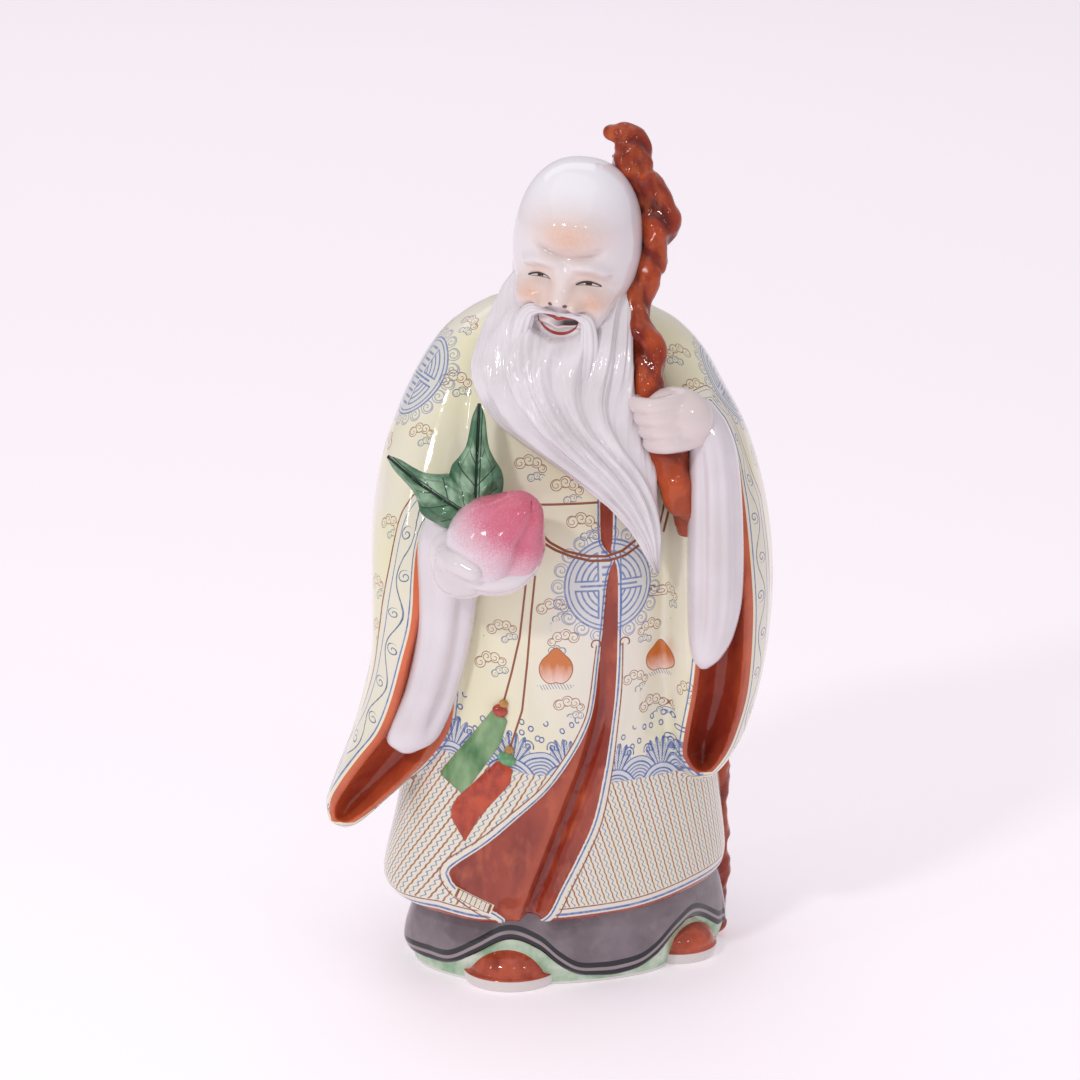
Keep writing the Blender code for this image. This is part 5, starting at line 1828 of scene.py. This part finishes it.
def assign_cloth(piece, field):
    """Gives each face of the robe the material that carries its patterns."""
    mesh = piece.data
    triangles = len(mesh.polygons)
    corners = np.empty(len(mesh.loops), np.int32)
    mesh.loops.foreach_get("vertex_index", corners)
    starts = np.empty(triangles, np.int32)
    mesh.polygons.foreach_get("loop_start", starts)
    sizes = np.diff(np.append(starts, len(corners)))

    def mean(values):
        return np.add.reduceat(values[corners], starts) / sizes

    z = mean(points_of(mesh)[:, 2])
    sleeve = mean(field["sleeve"])
    front = mean(field["front"].astype(float)) > 0.01
    slot = np.where(z < 121, np.where(front, 0, 2), np.where(front, 1, 3))
    slot = np.where(sleeve > 0.05, 4, slot)
    slot = np.where(mean(field["rim"]) < -1.5, 5, slot)
    mesh.polygons.foreach_set("material_index", slot.astype(np.int32))
    mesh.update()


PENDANT_PARTS = [
    # name, (x, z), radii, tilt in degrees, glaze
    ("red_bead", (-24.2, 110.2), (3.0, 2.2, 2.4), 25, "red"),
    ("gold_cap", (-22.8, 113.4), (1.8, 1.6, 1.7), 25, "gold"),
    ("green_knot", (-21.8, 92.2), (3.6, 2.2, 2.5), 30, "green"),
    ("gold_cap_low", (-20.8, 95.6), (1.7, 1.5, 1.7), 30, "gold"),
]


def build_pendants(robe):
    """The beads and gilt caps that the painted cords run to."""
    glazes = {
        "red": bead_glaze("red_bead_glaze", (164, 54, 36)),
        "green": bead_glaze("green_bead_glaze", (88, 148, 98)),
        "gold": gold_glaze(),
    }
    tree = BVHTree.FromObject(robe, bpy.context.evaluated_depsgraph_get())
    for name, (x, z), radii, tilt, glaze in PENDANT_PARTS:
        spot, normal = spot_in_front(tree, x, z)
        pose = Matrix.Translation(spot + normal * 0.6)
        pose @= Matrix.Rotation(math.radians(tilt), 4, "Y")
        piece, _ = ball(name, radii, 30, 40, None, pose)
        finish_piece(piece, glazes[glaze])


def bead_glaze(name, colour):
    paint = Paint(name, colour, 0.08)
    paint.over(tuple(min(255, c + 40) for c in colour), paint.noise(500.0, 2.0, low=0.4, high=0.7) * 0.6)
    return paint.done()


LEAVES = [
    ("low_leaf", (-34, -67, 189), (-65, -51, 207.5), 9.6),
    ("high_leaf", (-33, -66, 191), (-31.5, -50, 227), 10.0),
]
UNDER_SLEEVES = [
    ("left_under_sleeve", LEFT_CUFF, 0.0, LEFT_CUFF_FOLDS),
    ("right_under_sleeve", RIGHT_CUFF, 0.1, RIGHT_CUFF_FOLDS),
]


def build_object():
    robe, field = build_robe()
    cloths = [
        build_cloth("robe_front_low", low=True, front=True, cuffs=True),
        build_cloth("robe_front_high", front=True, cuffs=True),
        build_cloth("robe_back_low", low=True),
        build_cloth("robe_back_high"),
        build_cloth("robe_sleeves", cuffs=True),
        red_lining("robe_lining"),
    ]
    finish_piece(robe, cloths)
    assign_cloth(robe, field)
    build_pendants(robe)
    # The under-sleeves take a slightly darker white than the other glaze, as painted shade.
    shaded_sleeve_white = plain_white("shaded_sleeve_glaze", (226, 220, 224))
    hand_white = plain_white("hand_glaze", (222, 209, 207))
    finish_piece(build_head(), skin_glaze())
    finish_piece(build_ears(), plain_white("ear_glaze"))
    hair = hair_glaze()
    for piece in build_hair():
        finish_piece(piece, hair)
    finish_piece(build_under_robe(), under_glaze())
    for name, outline, turn, folds in UNDER_SLEEVES:
        sleeve = draped(name, outline, turn, around=150, step=0.9, carve=folds)
        finish_piece(sleeve, shaded_sleeve_white)
    finish_piece(build_staff(), staff_glaze())
    finish_piece(build_peach(), peach_glaze())
    finish_piece(staff_hand(), hand_white)
    finish_piece(peach_hand(), plain_white("palm_glaze", (227, 220, 222)))
    leaf = leaf_glaze()
    for name, base, tip, width in LEAVES:
        finish_piece(build_leaf(name, base, tip, width, 4.5), leaf)
    shoe = shoe_glaze()
    for i, parts in enumerate(SHOES):
        finish_piece(build_shoe(f"shoe{i}", **parts), shoe)


def light(name, place, size, power, aim=(0.0, 0.0, 0.17)):
    lamp = bpy.data.lights.new(name, "AREA")
    lamp.shape = "RECTANGLE"
    lamp.size, lamp.size_y = size
    lamp.energy = power
    holder = bpy.data.objects.new(name, lamp)
    bpy.context.scene.collection.objects.link(holder)
    holder.location = place
    holder.rotation_euler = (Vector(aim) - Vector(place)).to_track_quat("-Z", "Y").to_euler()


def build_stage():
    bpy.ops.mesh.primitive_plane_add(size=12.0)
    floor = bpy.context.object
    floor.name = "floor"
    material = bpy.data.materials.new("pale_floor")
    material.use_nodes = True
    shader = material.node_tree.nodes["Principled BSDF"]
    shader.inputs["Base Color"].default_value = linear(249, 243, 248)
    shader.inputs["Roughness"].default_value = 0.6
    shader.inputs["Emission Color"].default_value = linear(249, 241, 247)
    shader.inputs["Emission Strength"].default_value = 0.24
    floor.data.materials.append(material)

    world = bpy.data.worlds.new("soft_room")
    bpy.context.scene.world = world
    world.use_nodes = True
    background = world.node_tree.nodes["Background"]
    background.inputs["Color"].default_value = linear(244, 238, 244)
    background.inputs["Strength"].default_value = 0.63
    light("key", (-0.74, -1.20, 1.14), (0.20, 0.12), 6.4)
    light("fill", (0.95, -1.15, 1.0), (0.14, 0.10), 0.8)
    light("top", (-0.2, -0.3, 2.4), (2.4, 1.8), 6.0)
    light("sweep", (-0.7, 2.4, 2.6), (3.0, 2.0), 13.5, aim=(-0.7, 2.4, 0.0))
    light("side", (-1.3, -0.8, 0.8), (0.08, 0.3), 0.9)
    light("front", (0.25, -1.5, 1.15), (0.06, 0.06), 0.5)


CAMERA_LIFT = math.radians(15.0)
CAMERA_DISTANCE = 1.4
FRAME_WIDTH = 0.4104


def build_camera():
    target = Vector((-0.0095, 0.0, 0.1623))
    back = Vector((0.0, -math.cos(CAMERA_LIFT), math.sin(CAMERA_LIFT)))
    lens = bpy.data.cameras.new("camera")
    lens.sensor_width = 36.0
    lens.lens = lens.sensor_width * CAMERA_DISTANCE / FRAME_WIDTH
    lens.clip_start = 0.01
    holder = bpy.data.objects.new("camera", lens)
    bpy.context.scene.collection.objects.link(holder)
    holder.location = target + back * CAMERA_DISTANCE
    holder.rotation_euler = (-back).to_track_quat("-Z", "Y").to_euler()
    bpy.context.scene.camera = holder


build_object()
build_stage()
build_camera()
bpy.context.scene.view_settings.view_transform = "Standard"
